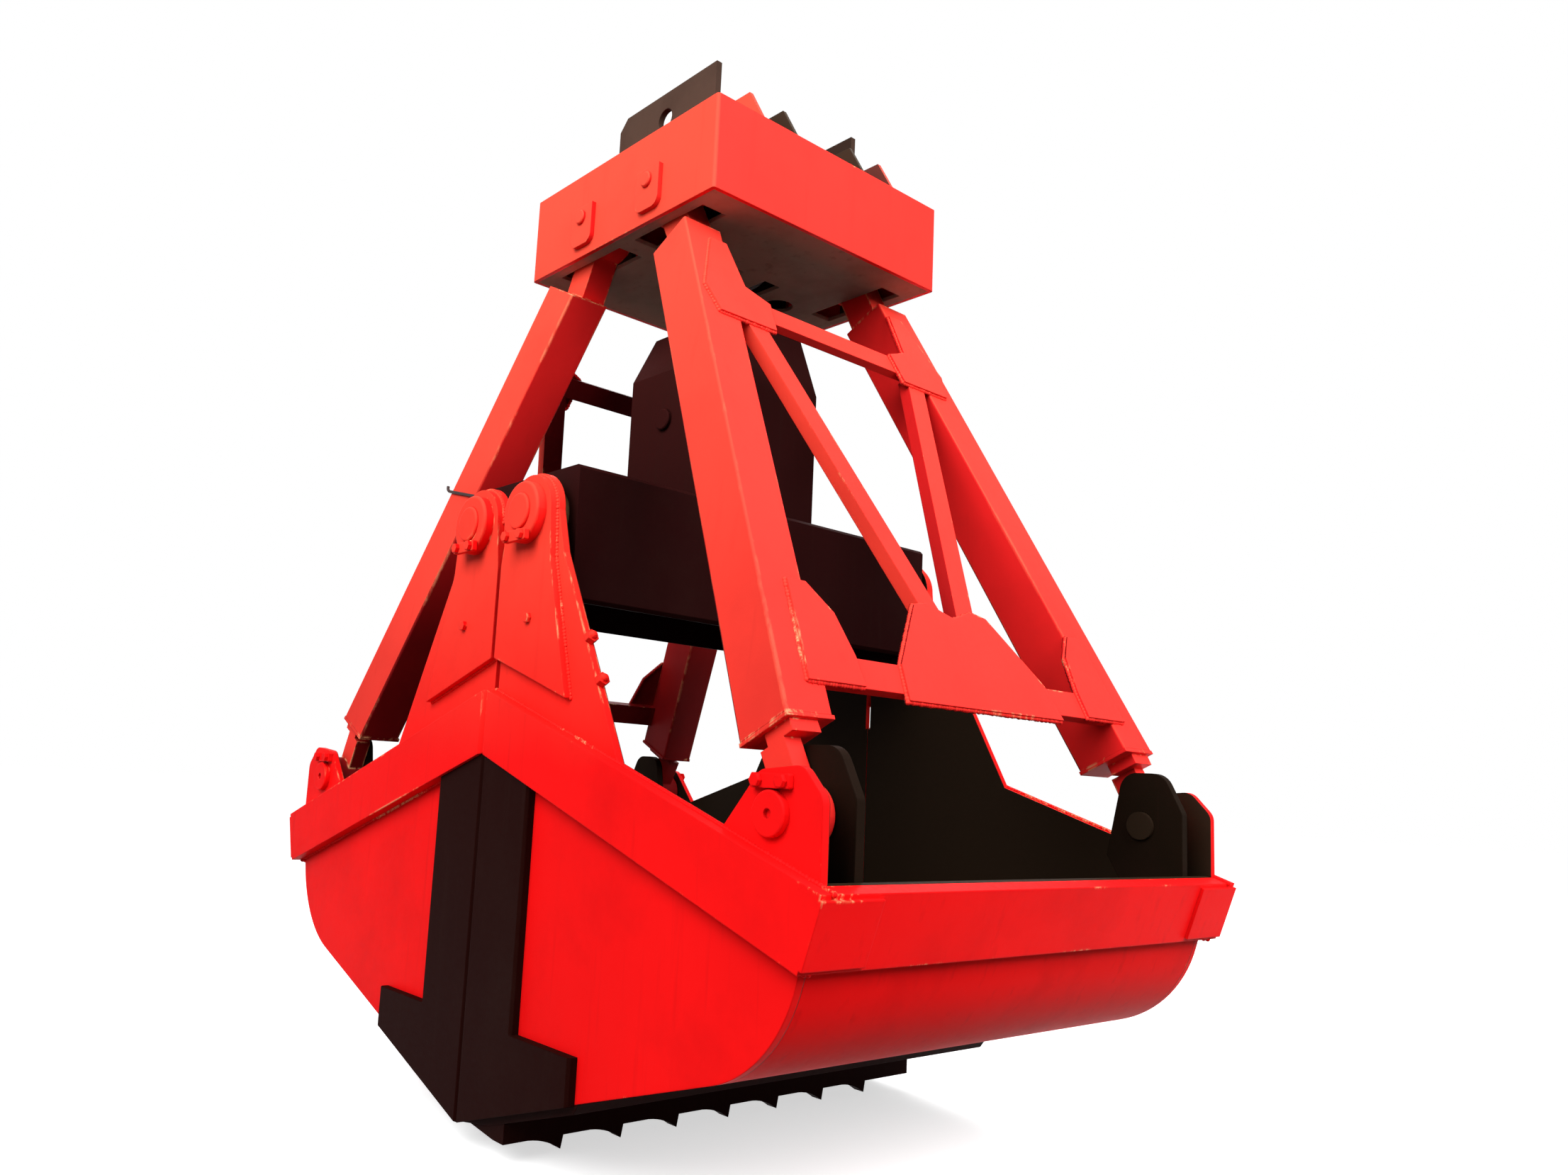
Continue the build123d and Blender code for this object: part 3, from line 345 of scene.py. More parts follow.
def new_group(name, inputs, outputs, kind="ShaderNodeTree"):
    """An empty node group with sockets given as (name, type, default) and (name, type).

    Gives the group, the sockets that bring in its inputs and the sockets that take its outputs.
    """
    tree = bpy.data.node_groups.new(name, kind)
    for label, socket, default in inputs:
        made = tree.interface.new_socket(label, in_out="INPUT", socket_type=socket)
        if default is not None:
            made.default_value = default
    for label, socket in outputs:
        tree.interface.new_socket(label, in_out="OUTPUT", socket_type=socket)
    entry = tree.nodes.new("NodeGroupInput")
    leave = tree.nodes.new("NodeGroupOutput")
    return tree, entry.outputs, leave.inputs


def math_node(tree, operation, *values):
    """A Math node on one or two values, each a socket or a number; gives its output socket."""
    return add(tree, "ShaderNodeMath", dict(enumerate(values)), operation=operation).outputs[0]


def ramp(tree, value, start, end, low=0.0, high=1.0):
    """Maps a socket from start..end to low..high, held at the ends."""
    values = {"Value": value, "From Min": start, "From Max": end, "To Min": low, "To Max": high}
    return add(tree, "ShaderNodeMapRange", values).outputs["Result"]


def noise(tree, place, scale, detail, roughness=0.5):
    """A noise value on object coordinates; scale is a number, a socket or a stretch along X, Y and Z."""
    if isinstance(scale, tuple):
        place = add(tree, "ShaderNodeMapping", {"Vector": place, "Scale": scale}).outputs["Vector"]
        scale = 1.0
    values = {"Vector": place, "Scale": scale, "Detail": detail, "Roughness": roughness}
    return add(tree, "ShaderNodeTexNoise", values).outputs["Fac"]


def object_place(tree):
    """The object coordinates of the surface."""
    return add(tree, "ShaderNodeTexCoord").outputs["Object"]


def split(tree, vector):
    """X, Y and Z of a vector socket."""
    return add(tree, "ShaderNodeSeparateXYZ", {"Vector": vector}).outputs


def dot(tree, first, second):
    """The dot product of two vector sockets."""
    return add(tree, "ShaderNodeVectorMath", {0: first, 1: second}, operation="DOT_PRODUCT").outputs["Value"]


def own_normal(tree):
    """The surface normal in object coordinates, so that it turns with its piece."""
    normal = add(tree, "ShaderNodeNewGeometry").outputs["Normal"]
    turned = add(tree, "ShaderNodeVectorTransform", {"Vector": normal}, vector_type="NORMAL",
                 convert_from="WORLD", convert_to="OBJECT")
    return turned.outputs["Vector"]


@made_once("bleach")
def painted_light_group(name):
    """Share of the pale colour, which is painted light: more high up and on faces turned to Sun, none on
    faces turned inwards, which keep painted shade.

    Inward is 1 on faces that look from one jaw at the other, and on faces of the left jaw that look at
    its own middle; these faces take painted shade. Rise is the height in the span.
    """
    tree, entry, leave = new_group(
        name,
        [
            ("Low", "NodeSocketFloat", -2.0),
            ("High", "NodeSocketFloat", 0.0),
            ("Least", "NodeSocketFloat", 0.3),
            ("Sun", "NodeSocketVector", (0.0, -0.9, 0.43)),
        ],
        [("Share", "NodeSocketFloat"), ("Inward", "NodeSocketFloat"), ("Rise", "NodeSocketFloat")],
    )
    spot = object_place(tree)
    place = split(tree, spot)
    facing = own_normal(tree)
    normal = split(tree, facing)
    sway = ramp(tree, noise(tree, spot, scale=1.3, detail=3.0), 0.2, 0.8, low=-0.12, high=0.12)
    rise = ramp(tree, math_node(tree, "ADD", place["Z"], sway), entry["Low"], entry["High"])
    spare = math_node(tree, "SUBTRACT", 1.0, entry["Least"])
    height = math_node(tree, "ADD", math_node(tree, "MULTIPLY", rise, spare), entry["Least"])
    # Faces turned to Sun take more of the pale colour: painted light.
    lit = ramp(tree, dot(tree, facing, entry["Sun"]), -0.1, 0.6, low=0.15)
    out_x = math_node(tree, "MULTIPLY", place["X"], normal["X"])
    out_y = math_node(tree, "MULTIPLY", place["Y"], normal["Y"])
    # Faces turned inwards take none of the pale colour: painted shade.
    outward = ramp(tree, math_node(tree, "ADD", out_x, out_y), -0.08, 0.0)
    share = math_node(tree, "MULTIPLY", math_node(tree, "MULTIPLY", height, lit), outward)
    left = math_node(tree, "LESS_THAN", place["X"], 0.0)
    across = math_node(tree, "MULTIPLY", ramp(tree, out_y, -0.2, -0.5), left)
    inward = math_node(tree, "MAXIMUM", ramp(tree, out_x, -0.05, -0.2), across)
    feed(tree, leave["Share"], share)
    feed(tree, leave["Inward"], inward)
    feed(tree, leave["Rise"], rise)
    return tree


@made_once("inner_side")
def inner_side_group(name):
    """1 on the faces that lie nearer the middle than a half width along Y."""
    tree, entry, leave = new_group(
        name,
        [("Half Width", "NodeSocketFloat", 0.9)],
        [("Mask", "NodeSocketFloat")],
    )
    across = math_node(tree, "ABSOLUTE", split(tree, object_place(tree))["Y"])
    depth = math_node(tree, "SUBTRACT", entry["Half Width"], across)
    feed(tree, leave["Mask"], ramp(tree, depth, 0.0, 0.004))
    return tree


@made_once("bowl_inside")
def bowl_inside_group(name):
    """1 on the faces of a curved shell plate that look towards the middle of its shell."""
    tree, entry, leave = new_group(
        name,
        [("Middle X", "NodeSocketFloat", 0.6), ("Middle Z", "NodeSocketFloat", -2.3)],
        [("Mask", "NodeSocketFloat")],
    )
    place = split(tree, object_place(tree))
    normal = split(tree, own_normal(tree))
    middle = math_node(tree, "MULTIPLY", math_node(tree, "SIGN", place["X"]), entry["Middle X"])
    to_x = math_node(tree, "SUBTRACT", middle, place["X"])
    to_z = math_node(tree, "SUBTRACT", entry["Middle Z"], place["Z"])
    facing_x = math_node(tree, "MULTIPLY", to_x, normal["X"])
    facing_z = math_node(tree, "MULTIPLY", to_z, normal["Z"])
    facing = math_node(tree, "ADD", facing_x, facing_z)
    feed(tree, leave["Mask"], ramp(tree, facing, 0.0, 0.05))
    return tree


@made_once("edge_wear")
def edge_wear_and_glint_group(name):
    """Mask of pale edge marks, partly rubbed paint, partly painted highlight along the edges: where the
    rounded normal leaves the flat one, broken up into streaks.
    """
    tree, entry, leave = new_group(
        name,
        [("Width", "NodeSocketFloat", 0.011), ("Amount", "NodeSocketFloat", 0.3)],
        [("Mask", "NodeSocketFloat")],
    )
    rounded = add(tree, "ShaderNodeBevel", {"Radius": entry["Width"]}, samples=4).outputs["Normal"]
    flat = add(tree, "ShaderNodeNewGeometry").outputs["Normal"]
    edge = ramp(tree, dot(tree, rounded, flat), 0.985, 0.88)
    place = object_place(tree)
    stretches = math_node(tree, "MULTIPLY", noise(tree, place, scale=2.6, detail=2.0), 0.55)
    fine = noise(tree, place, scale=(46.0, 46.0, 12.0), detail=5.0, roughness=0.65)
    streaks = math_node(tree, "MULTIPLY", fine, 0.45)
    broken = math_node(tree, "ADD", stretches, streaks)
    start = math_node(tree, "SUBTRACT", 0.72, math_node(tree, "MULTIPLY", entry["Amount"], 0.32))
    chips_and_glints = ramp(tree, broken, start, math_node(tree, "ADD", start, 0.07))
    feed(tree, leave["Mask"], math_node(tree, "MULTIPLY", edge, chips_and_glints))
    return tree


@made_once("grime")
def grime_and_crease_shade_group(name):
    """Mask of dirt and painted shade: soft dirt patches, fine runs down the surface, and painted shade in the
    creases between plates.

    Fine is an even small grain, for gloss and bump.
    """
    tree, entry, leave = new_group(
        name,
        [
            ("Amount", "NodeSocketFloat", 0.3),
            ("Crease", "NodeSocketFloat", 0.6),
            ("Scale", "NodeSocketFloat", 2.2),
        ],
        [("Mask", "NodeSocketFloat"), ("Fine", "NodeSocketFloat")],
    )
    place = object_place(tree)
    patches = ramp(tree, noise(tree, place, scale=entry["Scale"], detail=8.0, roughness=0.62), 0.48, 0.75)
    streaks = noise(tree, place, scale=(26.0, 26.0, 1.3), detail=4.0, roughness=0.55)
    runs = ramp(tree, streaks, 0.58, 0.76, high=0.7)
    lying = math_node(tree, "MULTIPLY", math_node(tree, "MAXIMUM", patches, runs), entry["Amount"])
    # Ambient occlusion darkens the creases between plates with the dirt colour: painted shade.
    open_sky = add(tree, "ShaderNodeAmbientOcclusion", {"Distance": 0.07}, samples=6)
    crease_shade = ramp(tree, open_sky.outputs["AO"], 0.62, 0.2)
    painted_crease_shade = math_node(tree, "MULTIPLY", crease_shade, entry["Crease"])
    feed(tree, leave["Mask"], math_node(tree, "MAXIMUM", lying, painted_crease_shade))
    feed(tree, leave["Fine"], noise(tree, place, scale=55.0, detail=5.0, roughness=0.7))
    return tree


@made_once("paint_skin")
def paint_skin_group(name):
    """Brushed paint: slow waves of the plate and a fine orange peel, over softened plate edges."""
    tree, entry, leave = new_group(
        name,
        [
            ("Waves", "NodeSocketFloat", 0.5),
            ("Peel", "NodeSocketFloat", 0.25),
            ("Edge Radius", "NodeSocketFloat", 0.005),
        ],
        [("Height", "NodeSocketFloat"), ("Normal", "NodeSocketVector")],
    )
    place = object_place(tree)
    waves = math_node(tree, "MULTIPLY", noise(tree, place, scale=4.5, detail=2.0), entry["Waves"])
    peel = math_node(tree, "MULTIPLY", noise(tree, place, scale=160.0, detail=3.0), entry["Peel"])
    soft = add(tree, "ShaderNodeBevel", {"Radius": entry["Edge Radius"]}, samples=4)
    feed(tree, leave["Height"], math_node(tree, "ADD", waves, peel))
    feed(tree, leave["Normal"], soft.outputs["Normal"])
    return tree


def use_group(tree, group, **values):
    """Places a node group in a material; the values are its inputs, with _ for each space."""
    named = {name.replace("_", " "): value for name, value in values.items()}
    return add(tree, "ShaderNodeGroup", named, node_tree=group).outputs


def mix_colour(tree, factor, first, second):
    """Mixes two colours, each a socket or a plain colour, by a factor socket."""
    # In a Mix node for colours, 0 is the factor, 6 and 7 are the colours and output 2 is the result.
    return add(tree, "ShaderNodeMix", {0: factor, 6: first, 7: second}, data_type="RGBA").outputs[2]


def rgba(colour, share=1.0):
    """A colour with alpha, lightened or darkened by share."""
    return tuple(min(1.0, part * share) for part in colour[:3]) + (1.0,)


def new_material(name):
    """A new material, its node tree and the inputs of its Principled BSDF."""
    made = bpy.data.materials.new(name)
    made.use_nodes = True
    return made, made.node_tree, made.node_tree.nodes["Principled BSDF"].inputs


def paint_material(name, deep, pale, span, least, dirt, chips_and_glints, wear_and_glint=0.3, grime=0.2, crease_shade=0.6,
                   roughness=0.45, specular=0.1, inner_shade=None, inner_shade_top=0.7, inside=None, inner_side=None):
    """Painted steel whose colour goes from deep to pale over a span of heights, the pale colour being painted
    light, with dirt, painted crease shade and pale edge marks that are partly rubbed paint, partly painted
    highlight.

    least is the share of the pale colour at the lower end of the span. inner_shade is a painted shade
    that darkens the faces turned towards the middle of the grab; inner_shade_top is the share of the span
    below which it sets in.

    inside is the colour of the faces that look inwards, partly dark paint, partly painted shade of the deep
    interior.
    They lie nearer the middle than inner_side, or, where that isn't given, on the hollow side of a curved
    shell plate.
    """
    made, tree, skin = new_material(name)
    painted_light = use_group(tree, painted_light_group(), Low=up(span[0]), High=up(span[1]), Least=least)
    base = mix_colour(tree, painted_light["Share"], rgba(deep), rgba(pale))
    # Inward faces low down darken with the inner shade colour: painted shade.
    if inner_shade is not None:
        low_down = ramp(tree, painted_light["Rise"], inner_shade_top, inner_shade_top - INNER_SHADE_REACH, high=INNER_SHADE_STRENGTH)
        base = mix_colour(tree, math_node(tree, "MULTIPLY", painted_light["Inward"], low_down), base, rgba(inner_shade))
    clouds = noise(tree, object_place(tree), scale=1.7, detail=5.0)
    cloudy = {"Color": base, "Value": ramp(tree, clouds, 0.25, 0.75, *CLOUD_BRIGHTNESS)}
    uneven = add(tree, "ShaderNodeHueSaturation", cloudy).outputs["Color"]
    dirt_and_shade = use_group(tree, grime_and_crease_shade_group(), Amount=grime, Crease=crease_shade)
    # The dirt colour also covers the creases: dirt and painted shade.
    base = mix_colour(tree, dirt_and_shade["Mask"], uneven, rgba(dirt))
    rubbed = use_group(tree, edge_wear_and_glint_group(), Amount=wear_and_glint)
    # Edges take the pale colour: partly rubbed paint, partly painted highlight.
    base = mix_colour(tree, rubbed["Mask"], base, rgba(chips_and_glints))
    # Inward faces take the inside colour: partly dark paint, partly painted shade.
    if inside is not None:
        if inner_side is None:
            middle, height = BOWL_MIDDLE
            hidden = use_group(tree, bowl_inside_group(), Middle_X=middle, Middle_Z=up(height))
        else:
            hidden = use_group(tree, inner_side_group(), Half_Width=inner_side)
        base = mix_colour(tree, hidden["Mask"], base, rgba(inside))
    below, above = PAINT_SPREAD
    gloss = ramp(tree, dirt_and_shade["Fine"], 0.0, 1.0, low=roughness - below, high=roughness + above)
    surface = use_group(tree, paint_skin_group())
    bump = add(tree, "ShaderNodeBump", {
        "Strength": 0.22,
        "Distance": 0.004,
        "Height": surface["Height"],
        "Normal": surface["Normal"],
    })
    feed(tree, skin["Base Color"], base)
    feed(tree, skin["Roughness"], gloss)
    feed(tree, skin["Specular IOR Level"], specular)
    feed(tree, skin["Normal"], bump.outputs["Normal"])
    return made


def metal_material(name, colour, roughness, metallic):
    """Bare turned or cast metal with uneven gloss, stains and painted shade in its creases."""
    made, tree, skin = new_material(name)
    dirt_and_shade = use_group(tree, grime_and_crease_shade_group(), Amount=0.6, Crease=0.5, Scale=9.0)
    stained_and_shaded = mix_colour(tree, dirt_and_shade["Mask"], rgba(colour), rgba(colour, STAIN_AND_SHADE_SHARE))
    below, above = METAL_SPREAD
    gloss = ramp(tree, dirt_and_shade["Fine"], 0.0, 1.0, low=roughness - below, high=roughness + above)
    bump = add(tree, "ShaderNodeBump", {"Strength": 0.2, "Distance": 0.002, "Height": dirt_and_shade["Fine"]})
    feed(tree, skin["Base Color"], stained_and_shaded)
    feed(tree, skin["Metallic"], metallic)
    feed(tree, skin["Roughness"], gloss)
    feed(tree, skin["Normal"], bump.outputs["Normal"])
    return made


def recipes():
    """What each painted finish is made of."""
    paint = looks().paint
    ear = rgba(paint.inside, EAR_SHARE)
    # The upper paints go from shade_red, painted shade, to lit_red, painted light.
    upper = dict(deep=paint.shade_red, pale=paint.lit_red, span=UPPER_SPAN, least=0.38,
                 dirt=UPPER_DIRT_AND_SHADE, chips_and_glints=paint.chips_and_glints, wear_and_glint=paint.wear_and_glint, grime=paint.grime,
                 specular=0.04, inner_shade=ARM_INNER_SHADE)
    shell = dict(deep=paint.shell_red, pale=paint.lit_shell_red, span=SHELL_SPAN, least=0.0,
                 dirt=SHELL_DIRT_AND_SHADE, chips_and_glints=paint.chips_and_glints, wear_and_glint=paint.wear_and_glint, grime=paint.grime, specular=0.03)
    dark = dict(dirt=DARK_DIRT_AND_SHADE, chips_and_glints=DARK_CHIPS_AND_GLINTS, wear_and_glint=0.25, grime=0.4, crease_shade=0.3,
                least=0.0, roughness=0.5, specular=0.01)
    return {
        "upper_red_paint": upper,
        "arm_paint": dict(upper, wear_and_glint=paint.wear_and_glint * ARM_WEAR_AND_GLINT_SHARE),
        # The beams' inward faces take a darker painted shade, reaching higher up.
        "beam_paint": dict(upper, inner_shade=BEAM_INNER_SHADE, inner_shade_top=1.6),
        # The cheeks' deep colour is a darker painted shade on faces away from the light.
        "cheek_paint": dict(upper, deep=CHEEK_SHADE, inside=rgba(paint.inside, CHEEK_INSIDE_SHARE),
                            inner_side=CHEEK_MIDDLE),
        "bracket_paint": dict(upper, inside=paint.inside, inner_side=BRACKET_INSIDE),
        "shell_red_paint": shell,
        "bolt_paint": dict(shell, wear_and_glint=0.0),
        "end_plate_paint": dict(shell, inside=paint.inside, inner_side=PLATE_INSIDE),
        "pan_paint": dict(shell, grime=paint.grime * PAN_GRIME_SHARE, specular=0.015, inside=paint.inside),
        # The housing colour comes in through the light share: partly its own tone, partly painted light.
        "block_paint": dict(dark, deep=paint.block, pale=paint.housing, span=BLOCK_SPAN),
        # The lug's deep colour is a darker copy of its paint: painted shade low on the lugs and on faces
        # turned from the light.
        "lug_paint": dict(dark, deep=rgba(paint.lug, LUG_SHADE_SHARE), pale=paint.lug, span=LUG_SPAN,
                          chips_and_glints=LUG_CHIPS_AND_GLINTS),
        "underside_paint": dict(dark, deep=paint.underside, pale=paint.underside, span=UNDERSIDE_SPAN),
        "inside_black_and_shade": dict(dark, deep=paint.inside, pale=paint.inside, span=INSIDE_SPAN),
        "ear_black_and_shade": dict(dark, deep=ear, pale=ear, span=INSIDE_SPAN),
        "lip_black_paint": dict(dark, deep=paint.lip, pale=paint.lip, span=LIP_SPAN),
    }


def material(name):
    """The named finish, made on first use."""
    if name in bpy.data.materials:
        return bpy.data.materials[name]
    if name in METALS:
        return metal_material(name, *METALS[name])
    return paint_material(name, **recipes()[name])


def coat(finish, *names):
    """Gives CAD nodes one finish."""
    for name in names:
        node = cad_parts[name]
        node.data.materials.clear()
        node.data.materials.append(material(finish))


def both_hands(*names):
    """The right and left node of each name."""
    return [hand + "_" + name for name in names for hand, _ in HANDS]


@made_once("weld_beads")
def bead_tree(name):
    """Geometry nodes that lay overlapping weld ripples along the edges of a mesh."""
    tree, entry, leave = new_group(
        name,
        [
            ("Seams", "NodeSocketGeometry", None),
            ("Half Width", "NodeSocketFloat", 0.008),
            ("Spacing", "NodeSocketFloat", 0.011),
            ("Seed", "NodeSocketInt", 7),
            ("Finish", "NodeSocketMaterial", None),
        ],
        [("Beads", "NodeSocketGeometry")],
        "GeometryNodeTree",
    )
    line = add(tree, "GeometryNodeMeshToCurve", {"Mesh": entry["Seams"]}).outputs["Curve"]
    steps = add(tree, "GeometryNodeResampleCurve", {"Curve": line, "Length": entry["Spacing"]}, mode="LENGTH")
    drop = add(tree, "GeometryNodeMeshUVSphere", {"Segments": 7, "Rings": 5, "Radius": 1.0})
    tangent = add(tree, "GeometryNodeInputTangent").outputs["Tangent"]
    turn = add(tree, "FunctionNodeAlignRotationToVector", {"Vector": tangent}, axis="X")
    uneven = add(tree, "FunctionNodeRandomValue", {"Min": 0.8, "Max": 1.15, "Seed": entry["Seed"]},
                 data_type="FLOAT")
    length = math_node(tree, "MULTIPLY", entry["Spacing"], RIPPLE_SHARE)
    size = math_node(tree, "MULTIPLY", entry["Half Width"], uneven.outputs[1])
    shape = add(tree, "ShaderNodeCombineXYZ", {"X": length, "Y": size, "Z": size})
    laid = add(tree, "GeometryNodeInstanceOnPoints", {
        "Points": steps.outputs["Curve"],
        "Instance": drop.outputs["Mesh"],
        "Rotation": turn.outputs["Rotation"],
        "Scale": shape.outputs["Vector"],
    })
    finish_tree(tree, laid.outputs["Instances"], entry["Finish"], leave["Beads"], smooth=True)
    return tree


def raised(tree, shape, height):
    """A shape moved up by a height socket."""
    lift = add(tree, "ShaderNodeCombineXYZ", {"Z": height}).outputs["Vector"]
    return add(tree, "GeometryNodeTransform", {"Geometry": shape, "Translation": lift}).outputs["Geometry"]


@made_once("edge_bolts")
def bolt_tree(name):
    """Geometry nodes that set a hexagon bolt head with a domed end on each point, along Direction."""
    tree, entry, leave = new_group(
        name,
        [
            ("Seats", "NodeSocketGeometry", None),
            ("Radius", "NodeSocketFloat", 0.021),
            ("Height", "NodeSocketFloat", 0.02),
            ("Direction", "NodeSocketVector", (0.0, 0.0, 1.0)),
            ("Finish", "NodeSocketMaterial", None),
        ],
        [("Bolts", "NodeSocketGeometry")],
        "GeometryNodeTree",
    )
    half = math_node(tree, "MULTIPLY", entry["Height"], 0.5)
    hexagon = add(tree, "GeometryNodeMeshCylinder", {
        "Vertices": 6,
        "Radius": entry["Radius"],
        "Depth": entry["Height"],
    })
    round_end = math_node(tree, "MULTIPLY", entry["Radius"], DOME_SHARE)
    dome = add(tree, "GeometryNodeMeshUVSphere", {"Segments": 10, "Rings": 6, "Radius": round_end})
    head = add(tree, "GeometryNodeJoinGeometry")
    feed(tree, head.inputs["Geometry"], raised(tree, hexagon.outputs["Mesh"], half))
    feed(tree, head.inputs["Geometry"], raised(tree, dome.outputs["Mesh"], entry["Height"]))
    turn = add(tree, "FunctionNodeAlignRotationToVector", {"Vector": entry["Direction"]}, axis="Z")
    laid = add(tree, "GeometryNodeInstanceOnPoints", {
        "Points": entry["Seats"],
        "Instance": head.outputs["Geometry"],
        "Rotation": turn.outputs["Rotation"],
    })
    finish_tree(tree, laid.outputs["Instances"], entry["Finish"], leave["Bolts"], smooth=False)
    return tree


@made_once("wire_tie")
def wire_tree(name):
    """Geometry nodes that bend a round wire along the edges of a mesh, with rounded corners."""
    tree, entry, leave = new_group(
        name,
        [
            ("Route", "NodeSocketGeometry", None),
            ("Radius", "NodeSocketFloat", 0.006),
            ("Bend", "NodeSocketFloat", 0.016),
            ("Finish", "NodeSocketMaterial", None),
        ],
        [("Wire", "NodeSocketGeometry")],
        "GeometryNodeTree",
    )
    line = add(tree, "GeometryNodeMeshToCurve", {"Mesh": entry["Route"]}).outputs["Curve"]
    corners = {"Curve": line, "Radius": entry["Bend"], "Count": 5, "Limit Radius": True}
    bent = add(tree, "GeometryNodeFilletCurve", corners, mode="POLY")
    ring = add(tree, "GeometryNodeCurvePrimitiveCircle", {"Resolution": 10, "Radius": entry["Radius"]})
    tube = add(tree, "GeometryNodeCurveToMesh", {
        "Curve": bent.outputs["Curve"],
        "Profile Curve": ring.outputs["Curve"],
        "Fill Caps": True,
    })
    finish_tree(tree, tube.outputs["Mesh"], entry["Finish"], leave["Wire"], smooth=True)
    return tree


def finish_tree(tree, shape, finish, leave, smooth):
    """Ends a geometry tree: real meshes, their shading and the finish."""
    real = add(tree, "GeometryNodeRealizeInstances", {"Geometry": shape}).outputs["Geometry"]
    shading = {"Geometry": real, "Shade Smooth": smooth}
    shaded = add(tree, "GeometryNodeSetShadeSmooth", shading).outputs["Geometry"]
    painted = add(tree, "GeometryNodeSetMaterial", {"Geometry": shaded, "Material": finish})
    feed(tree, leave, painted.outputs["Geometry"])


def grow(name, body, tree, sizes, points, edges=()):
    """Runs a geometry tree on points and edges and leaves one plain mesh, riding on a body."""
    path = bpy.data.meshes.new(name + "_path")
    path.from_pydata(points, edges, [])
    holder = bpy.data.objects.new(name + "_path", path)
    bpy.context.scene.collection.objects.link(holder)
    modifier = holder.modifiers.new(tree.name, "NODES")
    modifier.node_group = tree
    for item in tree.interface.items_tree:
        if item.in_out == "INPUT" and item.name in sizes:
            modifier[item.identifier] = sizes[item.name]
    graph = bpy.context.evaluated_depsgraph_get()
    graph.update()
    data = bpy.data.meshes.new_from_object(holder.evaluated_get(graph), depsgraph=graph)
    data.name = name
    holder.modifiers.clear()
    bpy.data.objects.remove(holder)
    if not data.polygons:
        raise RuntimeError(name + " came out empty")
    made = bpy.data.objects.new(name, data)
    bpy.context.scene.collection.objects.link(made)
    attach(made, body)
    return made


def node_seams(name, point, direction, keep=None):
    """Sharp edges of a CAD node that lie on a plane, as pairs of points; keep drops unwanted ones."""
    shape = bmesh.new()
    shape.from_mesh(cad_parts[name].data)
    bmesh.ops.remove_doubles(shape, verts=shape.verts, dist=SAME_POINT)
    seams = []
    for edge in shape.edges:
        if len(edge.link_faces) != 2 or edge.calc_face_angle(0.0) < SHARP_TURN:
            continue
        ends = [corner.co.copy() for corner in edge.verts]
        flat = all(abs((end - point).dot(direction)) < SAME_PLANE for end in ends)
        if flat and (keep is None or keep(*ends)):
            seams.append(ends)
    shape.free()
    return seams


def lay_beads(name, body, finish, seams):
    """One mesh of weld beads along the seams, riding on a body."""
    points, edges, known = [], [], {}
    for pair in seams:
        places = []
        for point in pair:
            key = tuple(round(part, 5) for part in point)
            if key not in known:
                known[key] = len(points)
                points.append(point)
            places.append(known[key])
        edges.append(places)
    welds = looks().welds
    sizes = {
        "Half Width": welds.width,
        "Spacing": welds.spacing,
        "Seed": welds.seed,
        "Finish": material(finish),
    }
    return grow(name, body, bead_tree(), sizes, points, edges)


class GRAB_OT_paint_head(bpy.types.Operator):
    """Paint the head box, its plates and the fittings inside it"""

    bl_idname = "grab.paint_head"
    bl_label = "Paint head"

    def execute(self, context):
        coat("upper_red_paint", "head_casing", "arm_pins")
        coat("cheek_paint", "guide_cheeks")
        coat("bracket_paint", "arm_brackets")
        coat("lug_paint", "suspension_lugs")
        coat("underside_paint", "head_base")
        coat("inside_black_and_shade", "head_sheave_plates")
        coat("turned_steel", "upper_shaft", "rope_bushes")
        return {"FINISHED"}


class GRAB_OT_paint_block(bpy.types.Operator):
    """Paint the lower block and the sheave housing, and finish their bushes and shaft"""

    bl_idname = "grab.paint_block"
    bl_label = "Paint lower block"

    def execute(self, context):
        coat("block_paint", "block_casing", "sheave_housing", "lower_shaft")
        coat("bush_bronze", "hinge_bushes")
        return {"FINISHED"}


class GRAB_OT_paint_sheaves(bpy.types.Operator):
    """Give the four rope sheaves their cast finish"""

    bl_idname = "grab.paint_sheaves"
    bl_label = "Finish sheaves"

    def execute(self, context):
        coat("cast_sheave_iron", "upper_sheave_near", "upper_sheave_far")
        coat("cast_sheave_iron", "lower_sheave_near", "lower_sheave_far")
        return {"FINISHED"}


class GRAB_OT_paint_arms(bpy.types.Operator):
    """Paint both braced arm pairs"""

    bl_idname = "grab.paint_arms"
    bl_label = "Paint arm pairs"

    def execute(self, context):
        coat("arm_paint", *both_hands("arms", "feet", "head_eyes"))
        coat("beam_paint", *both_hands("lower_beam", "upper_beam", "braces", "gussets"))
        coat("bush_bronze", *both_hands("foot_bushes"))
        return {"FINISHED"}


class GRAB_OT_paint_shells(bpy.types.Operator):
    """Paint both shells, dark inside, with black lips and teeth"""

    bl_idname = "grab.paint_shells"
    bl_label = "Paint shells"

    def execute(self, context):
        coat("end_plate_paint", *both_hands("end_plates", "ear_pins"))
        coat("pan_paint", *both_hands("pan"))
        coat("shell_red_paint", *both_hands("rim_band", "hinge_bosses", "hinge_pins"))
        coat("shell_red_paint", *both_hands("keepers", "keeper_bolts"))
        coat("ear_black_and_shade", *both_hands("inner_ears"))
        coat("lip_black_paint", *both_hands("side_lips", "bottom_lip", "teeth"))
        return {"FINISHED"}


